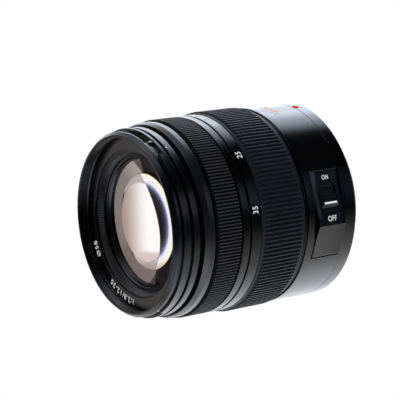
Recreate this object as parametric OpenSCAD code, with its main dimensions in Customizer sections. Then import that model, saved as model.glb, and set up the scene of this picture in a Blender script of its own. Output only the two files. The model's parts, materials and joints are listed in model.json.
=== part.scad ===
// Standard zoom lens for a compact system camera, in millimetres, as separate pieces.
// Each piece is drawn with z running forward from the mount's seat and y up.
// Angles run from the top towards +x. in_place() then lays the front towards -Y, with +Z up.

/* [Radii, from the filter thread outwards and inwards] */
// Inner diameter of the front filter thread
filter_d = 57.2; // [55:0.1:60]
// How much the sliding front tube is wider than the filter thread, on the radius
tube_step = 0.6; // [0.4:0.05:1]
// Wall of the sliding front tube
tube_wall = 1.6; // [1.3:0.1:2]
// Wall of the turning cam barrel
cam_wall = 1.5; // [1.2:0.1:1.8]
// Wall of the fixed guide tube
guide_wall = 1.2; // [1:0.1:1.6]
// Wall of the fixed centre sleeve
sleeve_wall = 1.5; // [1.3:0.1:2]
// Wall of the zoom ring at its number band
zoom_wall = 1.8; // [1.6:0.1:2.4]
// How far the rubber's ribs stand out from the number band
grip_proud = 0.8; // [0.6:0.05:1.2]
// Height of the rubber's ribs
grip_rib_h = 0.5; // [0.3:0.05:0.55]
// Depth of the seat that the rubber lies in
grip_seat = 0.55; // [0.3:0.05:0.8]
// Wall of the focus ring, to the tops of its ribs
focus_wall = 1.7; // [1.4:0.1:2.2]
// Height of the focus ring's ribs
focus_rib_h = 0.4; // [0.25:0.05:0.6]
// Height of the index band over the centre sleeve
band_h = 1.95; // [1.6:0.05:2.4]
// Height of the front collar over the centre sleeve
collar_h = 1.45; // [1.1:0.05:2]
// Wall of the front ring around the sliding tube
front_wall = 2.0; // [1.8:0.1:2.6]
// How much the rear barrel is lower than the rubber's ribs
rear_step = 0.4; // [0.2:0.05:0.8]
// Wall of the rear barrel
rear_wall = 1.5; // [1.2:0.1:1.8]

/* [Lengths, from the mount forwards] */
// Thickness of the mount's seat plate
plate_t = 2.2; // [2:0.1:3]
// Length of the rear barrel
rear_l = 21.55; // [20.5:0.05:24]
// Gap between the rear barrel and the zoom ring
rear_gap = 0.95; // [0.5:0.05:1.2]
// Length of the zoom ring
zoom_l = 21.5; // [20:0.1:24]
// Gap between the zoom ring and the index band
band_gap = 0.6; // [0.4:0.05:1]
// Length of the index band
band_l = 2.7; // [2.2:0.1:3.5]
// Gap at each end of the focus ring
focus_gap = 0.3; // [0.2:0.05:0.5]
// Length of the focus ring
focus_l = 9.25; // [8:0.05:11]
// Length of the front collar
collar_l = 4.3; // [3.8:0.1:5.5]
// Gap between the front collar and the front ring when drawn in
front_gap = 1.15; // [0.8:0.05:1.5]
// Length of the front ring
front_l = 9.0; // [8.4:0.1:10]
// Depth of the filter thread
thread_l = 3.9; // [3:0.1:4]

/* [Zoom drive] */
// Turn of the zoom ring from the widest to the longest setting, in degrees
zoom_turn = 77; // [60:1:80]
// How far the front tube comes out over that turn
zoom_travel = 24; // [20:0.5:25]
// How far the inner carriage moves forward over that turn
carriage_travel = 8; // [5:0.5:8]
// Diameter of the follower pins
pin_d = 2.2; // [1.8:0.1:2.4]
// Distance along the axis between the two sets of follower pins
pin_spacing = 5.2; // [5:0.1:6]
// Width of the drive key along the axis
key_l = 2.8; // [2:0.1:3.2]

/* [Grips] */
// Ribs round the zoom ring
zoom_ribs = 145; // [96:1:180]
// Ribs round the focus ring
focus_ribs = 184; // [120:4:216]
// Length of the number band in front of the rubber
number_l = 3.75; // [3:0.05:5]
// Plain land at each end of the rubber's ribs
grip_land = 1.25; // [0.8:0.05:1.6]

/* [Switch] */
// Length of the panel along the axis
panel_l = 11.1; // [10.5:0.1:13]
// Distance of the panel from the rear barrel's front edge
panel_inset = 3.45; // [3:0.05:4]
// Radial height of the panel's crease over the barrel
panel_h = 1.6; // [1:0.05:2]
// Length of the slot that the knob slides in
slot_l = 9.2; // [8.6:0.1:9.6]
// Width of that slot along the axis
slot_w = 6.3; // [5.5:0.1:7]
// Travel of the knob
knob_travel = 2.0; // [1:0.1:3]

/* [Mount] */
// Diameter of the seat plate
plate_d = 56.8; // [55:0.1:57.4]
// Outer diameter of the bayonet's tube
bayonet_d = 38.8; // [38:0.1:40]
// Wall of the bayonet's tube
bayonet_wall = 1.4; // [1.2:0.05:1.6]
// Length of the bayonet's tube behind the seat
bayonet_l = 5.2; // [5:0.1:6]
// Height of the bayonet's three lugs over the tube
lug_h = 2.3; // [1.5:0.1:2.6]
// Thickness of the lugs
lug_t = 1.6; // [1.2:0.1:2]

/* [Iris and clearances] */
// Radius of the iris when fully open
iris_r = 13.9; // [13:0.1:14.4]
// Turn of a blade from open to closed, in degrees
blade_turn = 34; // [20:1:36]
// Turn of the iris drive ring over the same stroke, in degrees
drive_turn = 20; // [16:1:22]
// Thickness of an iris blade
blade_t = 0.2; // [0.15:0.01:0.24]
// Gap between pieces that turn or slide on each other
run_gap = 0.25; // [0.2:0.05:0.3]
// Gap between pieces that are fixed together
seat_gap = 0.04; // [0.02:0.01:0.06]

/* [Hidden] */
$fn = 96;
lens_fn = 1440;
big = 200;

// Radius of the ball whose cap is as wide as a lens and rises by its sag
function ball(r, sag) = (r * r + sag * sag) / (2 * abs(sag));

// Radii, nested from the filter thread
filter_r = filter_d / 2;
tube_r = filter_r + tube_step;
tube_in = tube_r - tube_wall;
cam_r = tube_in - run_gap;
cam_in = cam_r - cam_wall;
guide_r = cam_in - run_gap;
guide_in = guide_r - guide_wall;
carriage_r = guide_in - run_gap;
sleeve_in = tube_r + run_gap;
sleeve_r = sleeve_in + sleeve_wall;
ring_in = sleeve_r + run_gap;
zoom_r = ring_in + zoom_wall;
grip_r = zoom_r + grip_proud;
focus_r = ring_in + focus_wall;
band_r = sleeve_r + band_h;
collar_r = sleeve_r + collar_h;
front_r = tube_r + front_wall;
rear_r = grip_r - rear_step;
rear_in = rear_r - rear_wall;

// Places along the axis
rear_z = plate_t;
rear_end = rear_z + rear_l;
zoom_z = rear_end + rear_gap;
zoom_end = zoom_z + zoom_l;
band_z = zoom_end + band_gap;
band_end = band_z + band_l;
focus_z = band_end + focus_gap;
focus_end = focus_z + focus_l;
collar_z = focus_end + focus_gap;
collar_end = collar_z + collar_l;
front_z = collar_end + front_gap;
front_end = front_z + front_l;
name_t = 0.7;
name_step = 0.3;
tube_end = front_end - thread_l - name_t;

// Rear barrel: its taper, its rear wall and the opening in that wall
taper_l = 1.5;
taper_h = 3.0;
taper_z = rear_z + taper_l;
rear_wall_t = 2.0;
rear_floor = rear_z + rear_wall_t;
rear_lip = 3.4;
rear_bore = guide_in - rear_lip;
edge_cut = 0.35;
edge_round = 0.2;
dot_r = 1.2;
dot_inset = 4.8;
dot_phi = 7.5;
dot_z = rear_z + dot_inset;
dot_depth = 0.8;
dot_proud = 0.3;
dot_floor = rear_r - dot_depth;

// Front cell and the two glasses that it holds
cell_l = 8.0;
cell_wall = 1.7;
cell_z = tube_end - cell_l;
neck_l = 4.2;
neck_r = guide_in - 2 * run_gap;
glass_r = neck_r - cell_wall;
glass_lip = 1.4;
glass_bulge = 3.2;
glass_ball = ball(glass_r, glass_bulge);
lip_rise = glass_bulge - glass_ball + sqrt(pow(glass_ball, 2) - pow(glass_r - glass_lip, 2));
second_step = 0.9;
second_r = glass_r - second_step;
second_t = 2.6;
second_gap = 0.6;
cell_rim = 3.0;
baffle_r = tube_in - cell_rim;
baffle_w = 2.3;
baffle_throat = baffle_r - baffle_w;
baffle_lip = 0.35;
baffle_l = 2.2;
retain_under = 0.5;
retain_r = baffle_throat + retain_under;
retain_l = 2.3;
retain_gap = 0.5;
glass_t = 2.2;
glass_z = tube_end - baffle_l - retain_l - retain_gap - glass_t;
name_over = 0.2;
second_back = glass_z - second_gap - second_t;
name_in = baffle_r - name_over;

// Follower pins: the front ones and those of the carriage, in three rows
pin_r = pin_d / 2;
pin_slot = pin_r + run_gap;
pin_phi = 40;
pin_rows = 3;
guide_end = cell_z - 2 * run_gap;
cam_end = guide_end - run_gap;
slot_margin = 1.5;
pin_end = guide_end - slot_margin - pin_slot;
pin_z = pin_end - zoom_travel;
carriage_pin_z = pin_z - pin_spacing;
tube_tail = 2.2;
tube_z = pin_z - tube_tail;
cam_tail = 2.2;
cam_z = carriage_pin_z - pin_slot - cam_tail;
helix_steps = 14;

// Guide tube's flange, where the sleeve and the tube join
flange_t = 3.2;
flange_z = cam_z - run_gap - flange_t;
sleeve_foot_t = 1.6;
sleeve_lap = 0.8;
sleeve_z = flange_z - sleeve_lap;
sleeve_nose = 1.55;
sleeve_end = collar_z + sleeve_nose;

// Drive key between the zoom ring and the cam barrel
key_half = 5;
key_from_pin = 98;
key_phi = pin_phi + key_from_pin;
key_sink = 0.75;
key_play = 0.4;
key_z = tube_z - key_play - key_l;

// Mount screws and the hole for the camera's lock pin
screw_phi = [45, 135, 225, 315];
screw_inset = 3.8;
screw_at = plate_d / 2 - screw_inset;
screw_r = 0.8;
screw_head_r = 1.5;
screw_head_t = 0.9;
screw_sunk = 0.15;
screw_short = 0.2;
screw_end = rear_floor - screw_short;
lock_phi = 98;
lock_inset = 3.2;
lock_at = plate_d / 2 - lock_inset;
lock_r = 1.3;
lock_depth = 1.4;
lug_phi = [20, 140, 260];
lug_half = 26;
lug_inset = 0.6;
lug_z = -bayonet_l + lug_inset;

// Circuit boards and the contacts' arc
board_t = 1.0;
board_lift = 2.4;
board_z = rear_floor + board_lift;
board_ledge = 1.3;
contact_phi = 180;
contact_half = 40;
contact_margin = 5;
contact_count = 11;
contact_sunk = 0.4;
contact_z = -bayonet_l + contact_sunk;
contact_w = 2.6;
contact_r = bayonet_d / 2 - bayonet_wall - seat_gap;
snout_r = contact_r - contact_w - run_gap;
flex_t = 0.25;
flex_w = 6.5;

// Switch panel: a flat facet falls from its top edge to the crease, a second one folds back
panel_z1 = rear_end - panel_inset;
panel_z0 = panel_z1 - panel_l;
panel_top = 60;
panel_crease = 91;
panel_bottom = 110.3;
panel_lip = 0.6;
panel_slope = 0.6;
window_play = atan(seat_gap / rear_r);
crease_r = rear_r + panel_h;
function on_circle(r, phi) = [r * sin(phi), r * cos(phi)];
facet_a = on_circle(rear_r, panel_top);
facet_c = on_circle(crease_r, panel_crease);
facet_b = on_circle(rear_r + panel_lip, panel_bottom);
facet_turn = atan2(facet_c[1] - facet_a[1], facet_c[0] - facet_a[0]);
slot_s = 5.0;
slot_depth = 1.2;
slot_aside = 0.7;
slot_z = (panel_z0 + panel_z1) / 2 - slot_w / 2 - slot_aside;
boss_depth = 3.2;
boss_wall = 1;
boss_sunk = 0.6;
skirt_l = slot_l - knob_travel - 2 * run_gap;
skirt_t = 0.7;
stem_w = 2.0;
ridge_h = 1.0;
lean = atan(panel_slope / panel_h);

// Code ring in the focus ring, and the sensor that reads it
code_t = 0.5;
sensor_phi = 200;
sensor_half = 4;
sensor_l = 2.4;
sensor_inset = 3.2;
sensor_z = focus_end - sensor_inset;

// Focus group on its rods
rod_r = 0.75;
rod_inset = 3.4;
rod_at = guide_in - rod_inset;
rod_fit = 0.05;
holder_lift = 1.1;
holder_z = rear_floor + holder_lift;
holder_l = 6.0;
holder_end = holder_z + holder_l;
snout_l = 7.4;
snout_z = holder_z - snout_l;
snout_wall = 1.6;
rear_glass_r = snout_r - snout_wall;
fore_step = 1.5;
fore_glass_r = snout_r + fore_step;
web_lift = 2;
web_z = holder_z + web_lift;
web_t = 1;
web_end = web_z + web_t;
web_w = 1.2;
support_t = 1.2;
carriage_gap = 0.3;
carriage_z = flange_z + flange_t + carriage_gap;
support_gap = 0.8;
support_z = carriage_z - support_gap - support_t;
focus_rest = 3.2;
focus_frame_z = holder_end + focus_rest;
focus_frame_l = 3.4;
focus_lens_r = 11;
focus_wall_t = 1.6;
focus_lip = 0.9;
arm_t = 1.4;
magnet_t = 3.0;
magnet_in = guide_in - magnet_t;
coil_t = 1.9;
coil_in = magnet_in - coil_t;

// Carriage with the stabiliser behind and the iris in front
carriage_wall = 1.5;
carriage_in = carriage_r - carriage_wall;
ois_base_t = 1.2;
ois_slider_t = 1.2;
ois_frame_t = 2.6;
ois_rail = 0.8;
rail_w = 1.6;
rail_l = 14;
rail_at = 16.5;
ois_swing = 0.75;
groove_l = rail_l + 2 * ois_swing + 2 * run_gap;
groove_w = rail_w + 2 * run_gap;
ois_lens_r = 10;
ois_ring = 1.5;
ois_lip = 0.7;
ois_slider_z = carriage_z + ois_base_t + run_gap;
ois_frame_z = ois_slider_z + ois_slider_t + run_gap;
iris_gap = 1.2;
iris_z = ois_frame_z + ois_frame_t + iris_gap;
iris_plate_t = 0.8;
blade_count = 7;
blade_pitch = blade_t + run_gap;
blade_z = iris_z + iris_plate_t + run_gap;
drive_z = blade_z + blade_count * blade_pitch;
drive_t = 0.8;
cover_z = drive_z + drive_t + run_gap;
actuator_t = 1.8;
actuator_half = 16;
flange_gap = 0.2;
lens_flange_z = cover_z + iris_plate_t + actuator_t + flange_gap;
lens_lip = 0.6;
lens_flange_t = 1.8;
carriage_end = lens_flange_z + lens_flange_t;
carriage_lens_r = iris_r;
pivot_inset = 2.65;
pivot_at = carriage_in - pivot_inset;
pivot_r = 0.6;
lever = 3.2;
lever_pin_r = 0.5;
blade_rim = 2.0;
blade_out = pivot_at - blade_rim;
blade_span = 100;
ear_half = 9.5;
ear_phi = -4.5;
ear_over = 1.2;
function blade_phi(i) = 360 / blade_count * i;

// Fixed second group, between the carriage's furthest place and the front cell's neck
second_end = cell_z - neck_l - 2 * run_gap;
second_l = 5.2;
second_z = second_end - second_l;
second_lens_r = 16.8;
second_seat = 1.5;
second_lip = 1.2;

// Draws a piece in the part's frame: forward becomes -Y and up becomes +Z
module in_place() {
    rotate([90, 0, 0]) children();
}

// Turns what is drawn at the top to an angle from the top towards +x
module at_phi(phi) {
    rotate([0, 0, -phi]) children();
}

// A full ring between two radii and two places along the axis
module ring(r0, r1, z0, z1) {
    rotate_extrude() translate([r0, z0]) square([r1 - r0, z1 - z0]);
}

// A part of a ring, half degrees to each side of phi
module sector(r0, r1, z0, z1, phi, half) {
    rotate([0, 0, 90 - phi - half])
        rotate_extrude(angle = 2 * half) translate([r0, z0]) square([r1 - r0, z1 - z0]);
}

// A round pin that points outwards at phi
module radial_pin(r, from_r, to_r, z, phi) {
    at_phi(phi) translate([0, from_r, z]) rotate([-90, 0, 0]) cylinder(r = r, h = to_r - from_r);
}

// A box that stands radially at phi, from one radius to another
module radial_box(w, from_r, to_r, z0, z1, phi) {
    at_phi(phi) translate([-w / 2, from_r, z0]) cube([w, to_r - from_r, z1 - z0]);
}

// A lens with spherical faces; a positive sag bulges and a negative one is hollow
module lens_outline(r, z0, z1, front, back) {
    top = ball(r, front);
    bottom = ball(r, back);
    spare = 1;
    intersection() {
        difference() {
            translate([0, z0 - max(back, 0) - spare])
                square([r, z1 - z0 + max(front, 0) + max(back, 0) + 2 * spare]);
            if (front < 0) translate([0, z1 + front + top]) circle(r = top, $fn = lens_fn);
            if (back < 0) translate([0, z0 - back - bottom]) circle(r = bottom, $fn = lens_fn);
        }
        if (front > 0) translate([0, z1 + front - top]) circle(r = top, $fn = lens_fn);
        if (back > 0) translate([0, z0 - back + bottom]) circle(r = bottom, $fn = lens_fn);
    }
}

module glass(r, z0, z1, front, back) {
    rotate_extrude() lens_outline(r, z0, z1, front, back);
}

// Outline of a ring of straight ribs, from the shares of the pitch that the foot and the top take
rib_foot = 0.34;
rib_top = 0.22;
function rib_outline(count, root, top) = [
    for (i = [0 : count - 1], c = [[root, -rib_foot], [top, -rib_top], [top, rib_top], [root, rib_foot]])
        let (a = 360 * (i + c[1]) / count) [c[0] * cos(a), c[0] * sin(a)]
];

// A helical cutter: forward by travel over turn degrees, half wide to each side of its path
module helix_cut(r0, r1, phi, z0, travel, half) {
    middle = (r0 + r1) / 2;
    climb = atan(travel / (middle * zoom_turn * PI / 180));
    half_z = half / cos(climb);
    over = half * cos(climb) / middle * 180 / PI / zoom_turn;
    stations = [for (i = [0 : helix_steps]) -over + (1 + 2 * over) * i / helix_steps];
    points = [
        for (t = stations, c = [[r0, -half_z], [r1, -half_z], [r1, half_z], [r0, half_z]])
            let (a = 90 - phi - zoom_turn * t)
                [c[0] * cos(a), c[0] * sin(a), z0 + travel * t + c[1]]
    ];
    corners = 4;
    sides = [
        for (i = [0 : helix_steps - 1], j = [0 : corners - 1])
            let (a = corners * i + j, b = corners * i + (j + 1) % corners, c = b + corners, d = a + corners)
                each [[a, d, c], [a, c, b]]
    ];
    last = corners * helix_steps;
    ends = [[0, 1, 2], [0, 2, 3], [last + 2, last + 1, last], [last + 3, last + 2, last]];
    polyhedron(points = points, faces = concat(sides, ends));
}

// Camera end

module mount_ring() color("silver") in_place() {
    tube_out = bayonet_d / 2;
    bore = tube_out - bayonet_wall;
    difference() {
        union() {
            ring(bore, plate_d / 2, 0, plate_t);
            ring(bore, tube_out, -bayonet_l, 0);
            for (phi = lug_phi)
                sector(bore + bayonet_wall / 2, tube_out + lug_h, lug_z, lug_z + lug_t, phi, lug_half);
        }
        screw_holes(screw_r + seat_gap);
        for (phi = screw_phi)
            at_phi(phi) translate([0, screw_at, -1])
            cylinder(r = screw_head_r + seat_gap, h = 1 + screw_head_t);
        at_phi(lock_phi) translate([0, lock_at, -1]) cylinder(r = lock_r, h = 1 + lock_depth);
    }
}

module screw_holes(r) {
    for (phi = screw_phi)
        at_phi(phi) translate([0, screw_at, -1]) cylinder(r = r, h = screw_end + 1 + seat_gap);
}

module mount_screws() color("dimgray") in_place() {
    cross_w = 0.35;
    cross_l = 1.8;
    cross_depth = 0.6;
    for (phi = screw_phi) at_phi(phi) translate([0, screw_at, 0]) difference() {
        union() {
            translate([0, 0, screw_sunk]) cylinder(r = screw_head_r, h = screw_head_t - screw_sunk);
            translate([0, 0, screw_head_t]) cylinder(r = screw_r, h = screw_end - screw_head_t);
        }
        for (turn = [0, 90]) rotate([0, 0, turn])
            translate([-cross_l / 2, -cross_w / 2, 0]) cube([cross_l, cross_w, cross_depth]);
    }
}

module mount_seal() color("black") in_place() {
    inside = plate_d / 2 + seat_gap;
    foot_w = 1.6;
    foot_t = 0.8;
    lip_w = 0.4;
    lip_z = 0.25;
    rotate_extrude() polygon([
        [inside, plate_t], [inside + foot_w, plate_t], [inside + foot_w, plate_t - foot_t],
        [inside + 2 * lip_w, lip_z], [inside + lip_w, lip_z], [inside, plate_t - foot_t]
    ]);
}

module contact_block() color("black") in_place()
    sector(contact_r - contact_w, contact_r, contact_z, rear_floor, contact_phi, contact_half);

module contact_pins() color("gold") in_place() {
    pad_t = 0.25;
    pad_r = 0.6;
    spread = contact_half - contact_margin;
    pitch = 2 * spread / (contact_count - 1);
    for (i = [0 : contact_count - 1])
        at_phi(contact_phi - spread + i * pitch)
            translate([0, contact_r - contact_w / 2, contact_z - pad_t])
                cylinder(r = pad_r, h = pad_t);
}

module rear_baffle() color("black") in_place() {
    sunk = 0.9;
    baffle_t = 1;
    z0 = -bayonet_l + sunk;
    window_w = 21;
    window_h = 15.5;
    difference() {
        translate([0, 0, z0]) cylinder(r = contact_r, h = baffle_t);
        translate([-window_w / 2, -window_h / 2, z0 - 1]) cube([window_w, window_h, baffle_t + 2]);
        sector(contact_r - contact_w - run_gap, contact_r + 1, z0 - 1, z0 + baffle_t + 1, contact_phi,
               contact_half + 1);
    }
}

// Fixed body

module rear_barrel() color("black") in_place() difference() {
    rotate_extrude() polygon([
        [rear_bore, rear_z], [rear_r - taper_h, rear_z], [rear_r - edge_cut, taper_z],
        [rear_r, taper_z + edge_cut], [rear_r, rear_end - edge_cut], [rear_r - edge_cut, rear_end],
        [rear_in, rear_end], [rear_in, rear_floor], [rear_bore, rear_floor]
    ]);
    linear_extrude_between(panel_z0 - seat_gap, panel_z1 + seat_gap)
        wedge(panel_top - window_play, panel_bottom + window_play);
    screw_holes(screw_r + seat_gap);
    radial_pin(dot_r + seat_gap, dot_floor - seat_gap, big, dot_z, dot_phi);
}

module linear_extrude_between(z0, z1) {
    translate([0, 0, z0]) linear_extrude(height = z1 - z0) children();
}

// A flat wedge from the axis outwards between two angles
module wedge(phi0, phi1) {
    polygon([[0, 0], on_circle(big, phi0), on_circle(big, (phi0 + phi1) / 2), on_circle(big, phi1)]);
}

module index_dot() color("red") in_place()
    radial_pin(dot_r, dot_floor, dot_floor + dot_depth + dot_proud, dot_z, dot_phi);

// Lays a shape out on the panel's upper facet: x runs down it, y outwards, z along the axis
module on_facet() {
    translate([facet_a[0], facet_a[1], 0]) rotate([0, 0, facet_turn]) children();
}

module switch_panel() color("black") in_place() difference() {
    union() {
        linear_extrude_between(panel_z0, panel_z1) difference() {
            polygon([[0, 0], facet_a, facet_c, facet_b]);
            circle(r = rear_in);
        }
        on_facet() translate([slot_s - boss_wall, -boss_depth, slot_z - boss_wall])
            cube([slot_l + 2 * boss_wall, boss_depth - boss_sunk, slot_w + 2 * boss_wall]);
    }
    on_facet() {
        translate([slot_s, -slot_depth, slot_z]) cube([slot_l, big, slot_w]);
        translate([slot_s + (skirt_l - stem_w) / 2 - run_gap, -big, slot_z + (slot_w - stem_w) / 2 - run_gap])
            cube([stem_w + knob_travel + 4 * run_gap, big, stem_w + 2 * run_gap]);
    }
    // The front wall leans back towards the crease
    translate([0, 0, panel_z1]) at_phi(panel_crease) rotate([-lean, 0, 0])
        translate([-big / 2, 0, 0]) slope_block();
}

// Half space in front of the leaning wall; its lower edge runs where the barrel's surface is
module slope_block() {
    translate([0, rear_r * cos(lean), rear_r * sin(lean)]) cube([big, big, big]);
}

module switch_board() color("darkgreen") in_place() on_facet()
    translate([slot_s - boss_wall / 2, -boss_depth - seat_gap - board_t, slot_z - boss_wall / 2])
        cube([slot_l + boss_wall, board_t, slot_w + boss_wall]);

module switch_knob() color("dimgray") in_place() on_facet() {
    skirt_s = slot_s + slot_l - run_gap - skirt_l;
    middle = skirt_s + skirt_l / 2;
    width = slot_w - 2 * run_gap;
    skirt_y = -slot_depth + run_gap;
    ridge_in = 0.2;
    ridge_root = 0.3;
    ridge_up = 1.3;
    ridge_down = 1.6;
    ridge_top = 1.2;
    top_y = skirt_y + skirt_t + ridge_h;
    stem_sunk = 0.4;
    translate([skirt_s, skirt_y, slot_z + run_gap]) cube([skirt_l, skirt_t, width]);
    translate([0, 0, slot_z + run_gap + ridge_in]) linear_extrude(height = width - 2 * ridge_in) polygon([
        [middle - ridge_up, skirt_y + ridge_root], [middle + ridge_down, skirt_y + ridge_root],
        [middle + ridge_top / 2, top_y], [middle - ridge_top / 2, top_y]
    ]);
    translate([middle - stem_w / 2, -boss_depth + stem_sunk, slot_z + slot_w / 2 - stem_w / 2])
        cube([stem_w, boss_depth - slot_depth, stem_w]);
}

module main_board() color("darkgreen") in_place() {
    edge = 1.6;
    outside = rear_in - edge;
    chip_in = 0.6;
    chip_t = 0.9;
    chip_half = 8;
    front = board_z + board_t;
    ring(guide_r + seat_gap, outside, board_z, front);
    for (phi = [150, 205, 300])
        sector(guide_r + board_ledge + chip_in, outside - chip_in, front, front + chip_t, phi, chip_half);
}

module flex_cable() color("saddlebrown") in_place() {
    strip_off = 2.0;
    strip_r = guide_r + strip_off;
    z0 = rear_floor + seat_gap;
    radial_box(flex_w, strip_r, strip_r + flex_t, z0, board_z - seat_gap, contact_phi);
    radial_box(flex_w, contact_r - contact_w / 2, strip_r + flex_t, z0, z0 + flex_t, contact_phi);
}

module guide_tube() color("dimgray") in_place() difference() {
    ledge_t = 0.8;
    flex_play = 1;
    union() {
        ring(guide_in, guide_r, rear_floor, guide_end);
        ring(guide_in, sleeve_in - seat_gap, flange_z, flange_z + flange_t);
        ring(guide_in, guide_r + board_ledge, board_z + board_t, board_z + board_t + ledge_t);
    }
    for (row = [0 : pin_rows - 1])
        radial_box(2 * pin_slot, guide_in - 1, guide_r + 1, carriage_pin_z - pin_slot, pin_end + pin_slot,
                   pin_phi + 360 / pin_rows * row);
    radial_box(flex_w + flex_play, guide_in - 1, guide_r + 1, rear_floor - 1, rear_floor + flex_play,
               contact_phi);
}

module fixed_sleeve() color("black") in_place() difference() {
    weld = sleeve_wall / 2;
    key_room = 1.5;
    sensor_room = 0.1;
    union() {
        ring(sleeve_in, sleeve_r, sleeve_z, sleeve_end);
        ring(sleeve_in, rear_in - seat_gap, sleeve_z, sleeve_z + sleeve_foot_t);
        rotate_extrude() polygon([
            [sleeve_r - weld, band_z], [band_r - edge_round, band_z], [band_r, band_z + edge_round],
            [band_r, band_end - edge_round], [band_r - edge_round, band_end], [sleeve_r - weld, band_end]
        ]);
    }
    sector(sleeve_in - 1, sleeve_r + 1, key_z - key_play, key_z + key_l + key_play,
           key_phi - zoom_turn / 2, zoom_turn / 2 + key_half + key_room);
    sector(sleeve_in - 1, sleeve_r + 1, sensor_z - seat_gap, sensor_z + sensor_l + seat_gap, sensor_phi,
           sensor_half + sensor_room);
}

module focus_sensor() color("dimgray") in_place() {
    back = 0.15;
    sunk = 0.05;
    sector(sleeve_in + back, sleeve_r - sunk, sensor_z, sensor_z + sensor_l, sensor_phi, sensor_half);
}

module front_collar() color("black") in_place() {
    slope_l = 0.95;
    slope_h = 1.1;
    rotate_extrude() polygon([
        [sleeve_r + seat_gap, collar_z], [collar_r - edge_round, collar_z], [collar_r, collar_z + edge_round],
        [collar_r, collar_end - slope_l], [collar_r - slope_h, collar_end], [sleeve_in, collar_end],
        [sleeve_in, sleeve_end + seat_gap], [sleeve_r + seat_gap, sleeve_end + seat_gap]
    ]);
}

module second_cell() color("black") in_place() {
    rear = 0.3;
    rotate_extrude() polygon([
        [second_lens_r - second_lip, second_z + rear], [guide_in - seat_gap, second_z + rear],
        [guide_in - seat_gap, second_end], [second_lens_r + seat_gap, second_end],
        [second_lens_r + seat_gap, second_z + second_seat],
        [second_lens_r - second_lip, second_z + second_seat]
    ]);
}

module second_lens() color("lightblue", 0.4) in_place() {
    recess = 0.9;
    bulge = 0.7;
    hollow = -1.8;
    glass(second_lens_r, second_z + second_seat + seat_gap, second_end - recess, bulge, hollow);
}

module rear_holder() color("black") in_place() difference() {
    rotate_extrude() polygon([
        [rear_glass_r, snout_z], [snout_r, snout_z], [snout_r, holder_z],
        [guide_in - seat_gap, holder_z], [guide_in - seat_gap, holder_end], [fore_glass_r, holder_end],
        [fore_glass_r, web_end], [rear_glass_r - web_w, web_end], [rear_glass_r - web_w, web_z],
        [rear_glass_r, web_z]
    ]);
    rods(rod_r + seat_gap);
}

module rear_lens() color("lightblue", 0.4) in_place() rotate_extrude() {
    rear_t = 6.6;
    rear_hollow = -1.2;
    rear_bulge = 1.4;
    fore_recess = 0.6;
    fore_bulge = 1.2;
    fore_hollow = -0.8;
    lens_outline(rear_glass_r - seat_gap, web_z - rear_t, web_z - seat_gap, rear_hollow, rear_bulge);
    lens_outline(fore_glass_r - seat_gap, web_end + seat_gap, holder_end - fore_recess, fore_bulge,
                 fore_hollow);
}

// The two rods; a wider radius gives the holes that they sit in
module rods(r) {
    for (phi = [90, 270])
        at_phi(phi) translate([0, rod_at, web_z]) cylinder(r = r, h = support_z + support_t - web_z);
}

module focus_rods() color("silver") in_place() rods(rod_r);

module rod_support() color("dimgray") in_place() difference() {
    ring_w = 3.6;
    ring(rod_at - ring_w, guide_in - seat_gap, support_z, support_z + support_t);
    rods(rod_r + seat_gap);
}

module focus_magnet() color("gray") in_place() {
    half = 14;
    sector(magnet_in, guide_in - seat_gap, holder_end + seat_gap, support_z - seat_gap, 0, half);
}

module focus_frame() color("black") in_place() difference() {
    arm_w = 3.0;
    coil_arm_w = 5.0;
    coil_arm_gap = 0.2;
    bearing_r = 1.7;
    outside = focus_lens_r + focus_wall_t;
    weld = outside - focus_wall_t / 4;
    front = focus_frame_z + focus_frame_l;
    union() {
        rotate_extrude() polygon([
            [focus_lens_r - focus_lip, focus_frame_z], [outside, focus_frame_z], [outside, front],
            [focus_lens_r + seat_gap, front], [focus_lens_r + seat_gap, focus_frame_z + focus_lip],
            [focus_lens_r - focus_lip, focus_frame_z + focus_lip]
        ]);
        for (phi = [90, 270]) {
            radial_box(arm_w, weld, rod_at, focus_frame_z, focus_frame_z + arm_t, phi);
            at_phi(phi) translate([0, rod_at, focus_frame_z]) cylinder(r = bearing_r, h = focus_frame_l);
        }
        radial_box(coil_arm_w, weld, coil_in - coil_arm_gap, focus_frame_z, focus_frame_z + arm_t, 0);
    }
    rods(rod_r + rod_fit);
}

module focus_lens() color("lightblue", 0.4) in_place() {
    recess = 0.3;
    front_hollow = -0.6;
    back_hollow = -0.5;
    glass(focus_lens_r, focus_frame_z + focus_lip + seat_gap, focus_frame_z + focus_frame_l - recess,
          front_hollow, back_hollow);
}

module focus_coil() color("peru") in_place() {
    half = 12;
    sector(coil_in + seat_gap, magnet_in - run_gap, focus_frame_z, focus_frame_z + focus_frame_l, 0, half);
}

// Zoom drive

module zoom_ring() color("black") in_place() {
    grip_end = zoom_end - number_l;
    rotate_extrude() polygon([
        [ring_in, zoom_z], [zoom_r - grip_seat, zoom_z], [zoom_r - grip_seat, grip_end], [zoom_r, grip_end],
        [zoom_r, zoom_end - edge_round], [zoom_r - edge_round, zoom_end], [ring_in, zoom_end]
    ]);
}

module zoom_grip() color("dimgray") in_place() {
    inside = zoom_r - grip_seat + seat_gap;
    root = grip_r - grip_rib_h;
    rear = 0.1;
    z0 = zoom_z + rear;
    z1 = zoom_end - number_l - seat_gap;
    ring(inside, root, z0, z0 + grip_land);
    ring(inside, root, z1 - grip_land, z1);
    linear_extrude_between(z0 + grip_land, z1 - grip_land) difference() {
        polygon(rib_outline(zoom_ribs, root, grip_r));
        circle(r = inside);
    }
}

module zoom_key() color("silver") in_place()
    sector(cam_r - key_sink, ring_in - seat_gap, key_z, key_z + key_l, key_phi, key_half);

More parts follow.
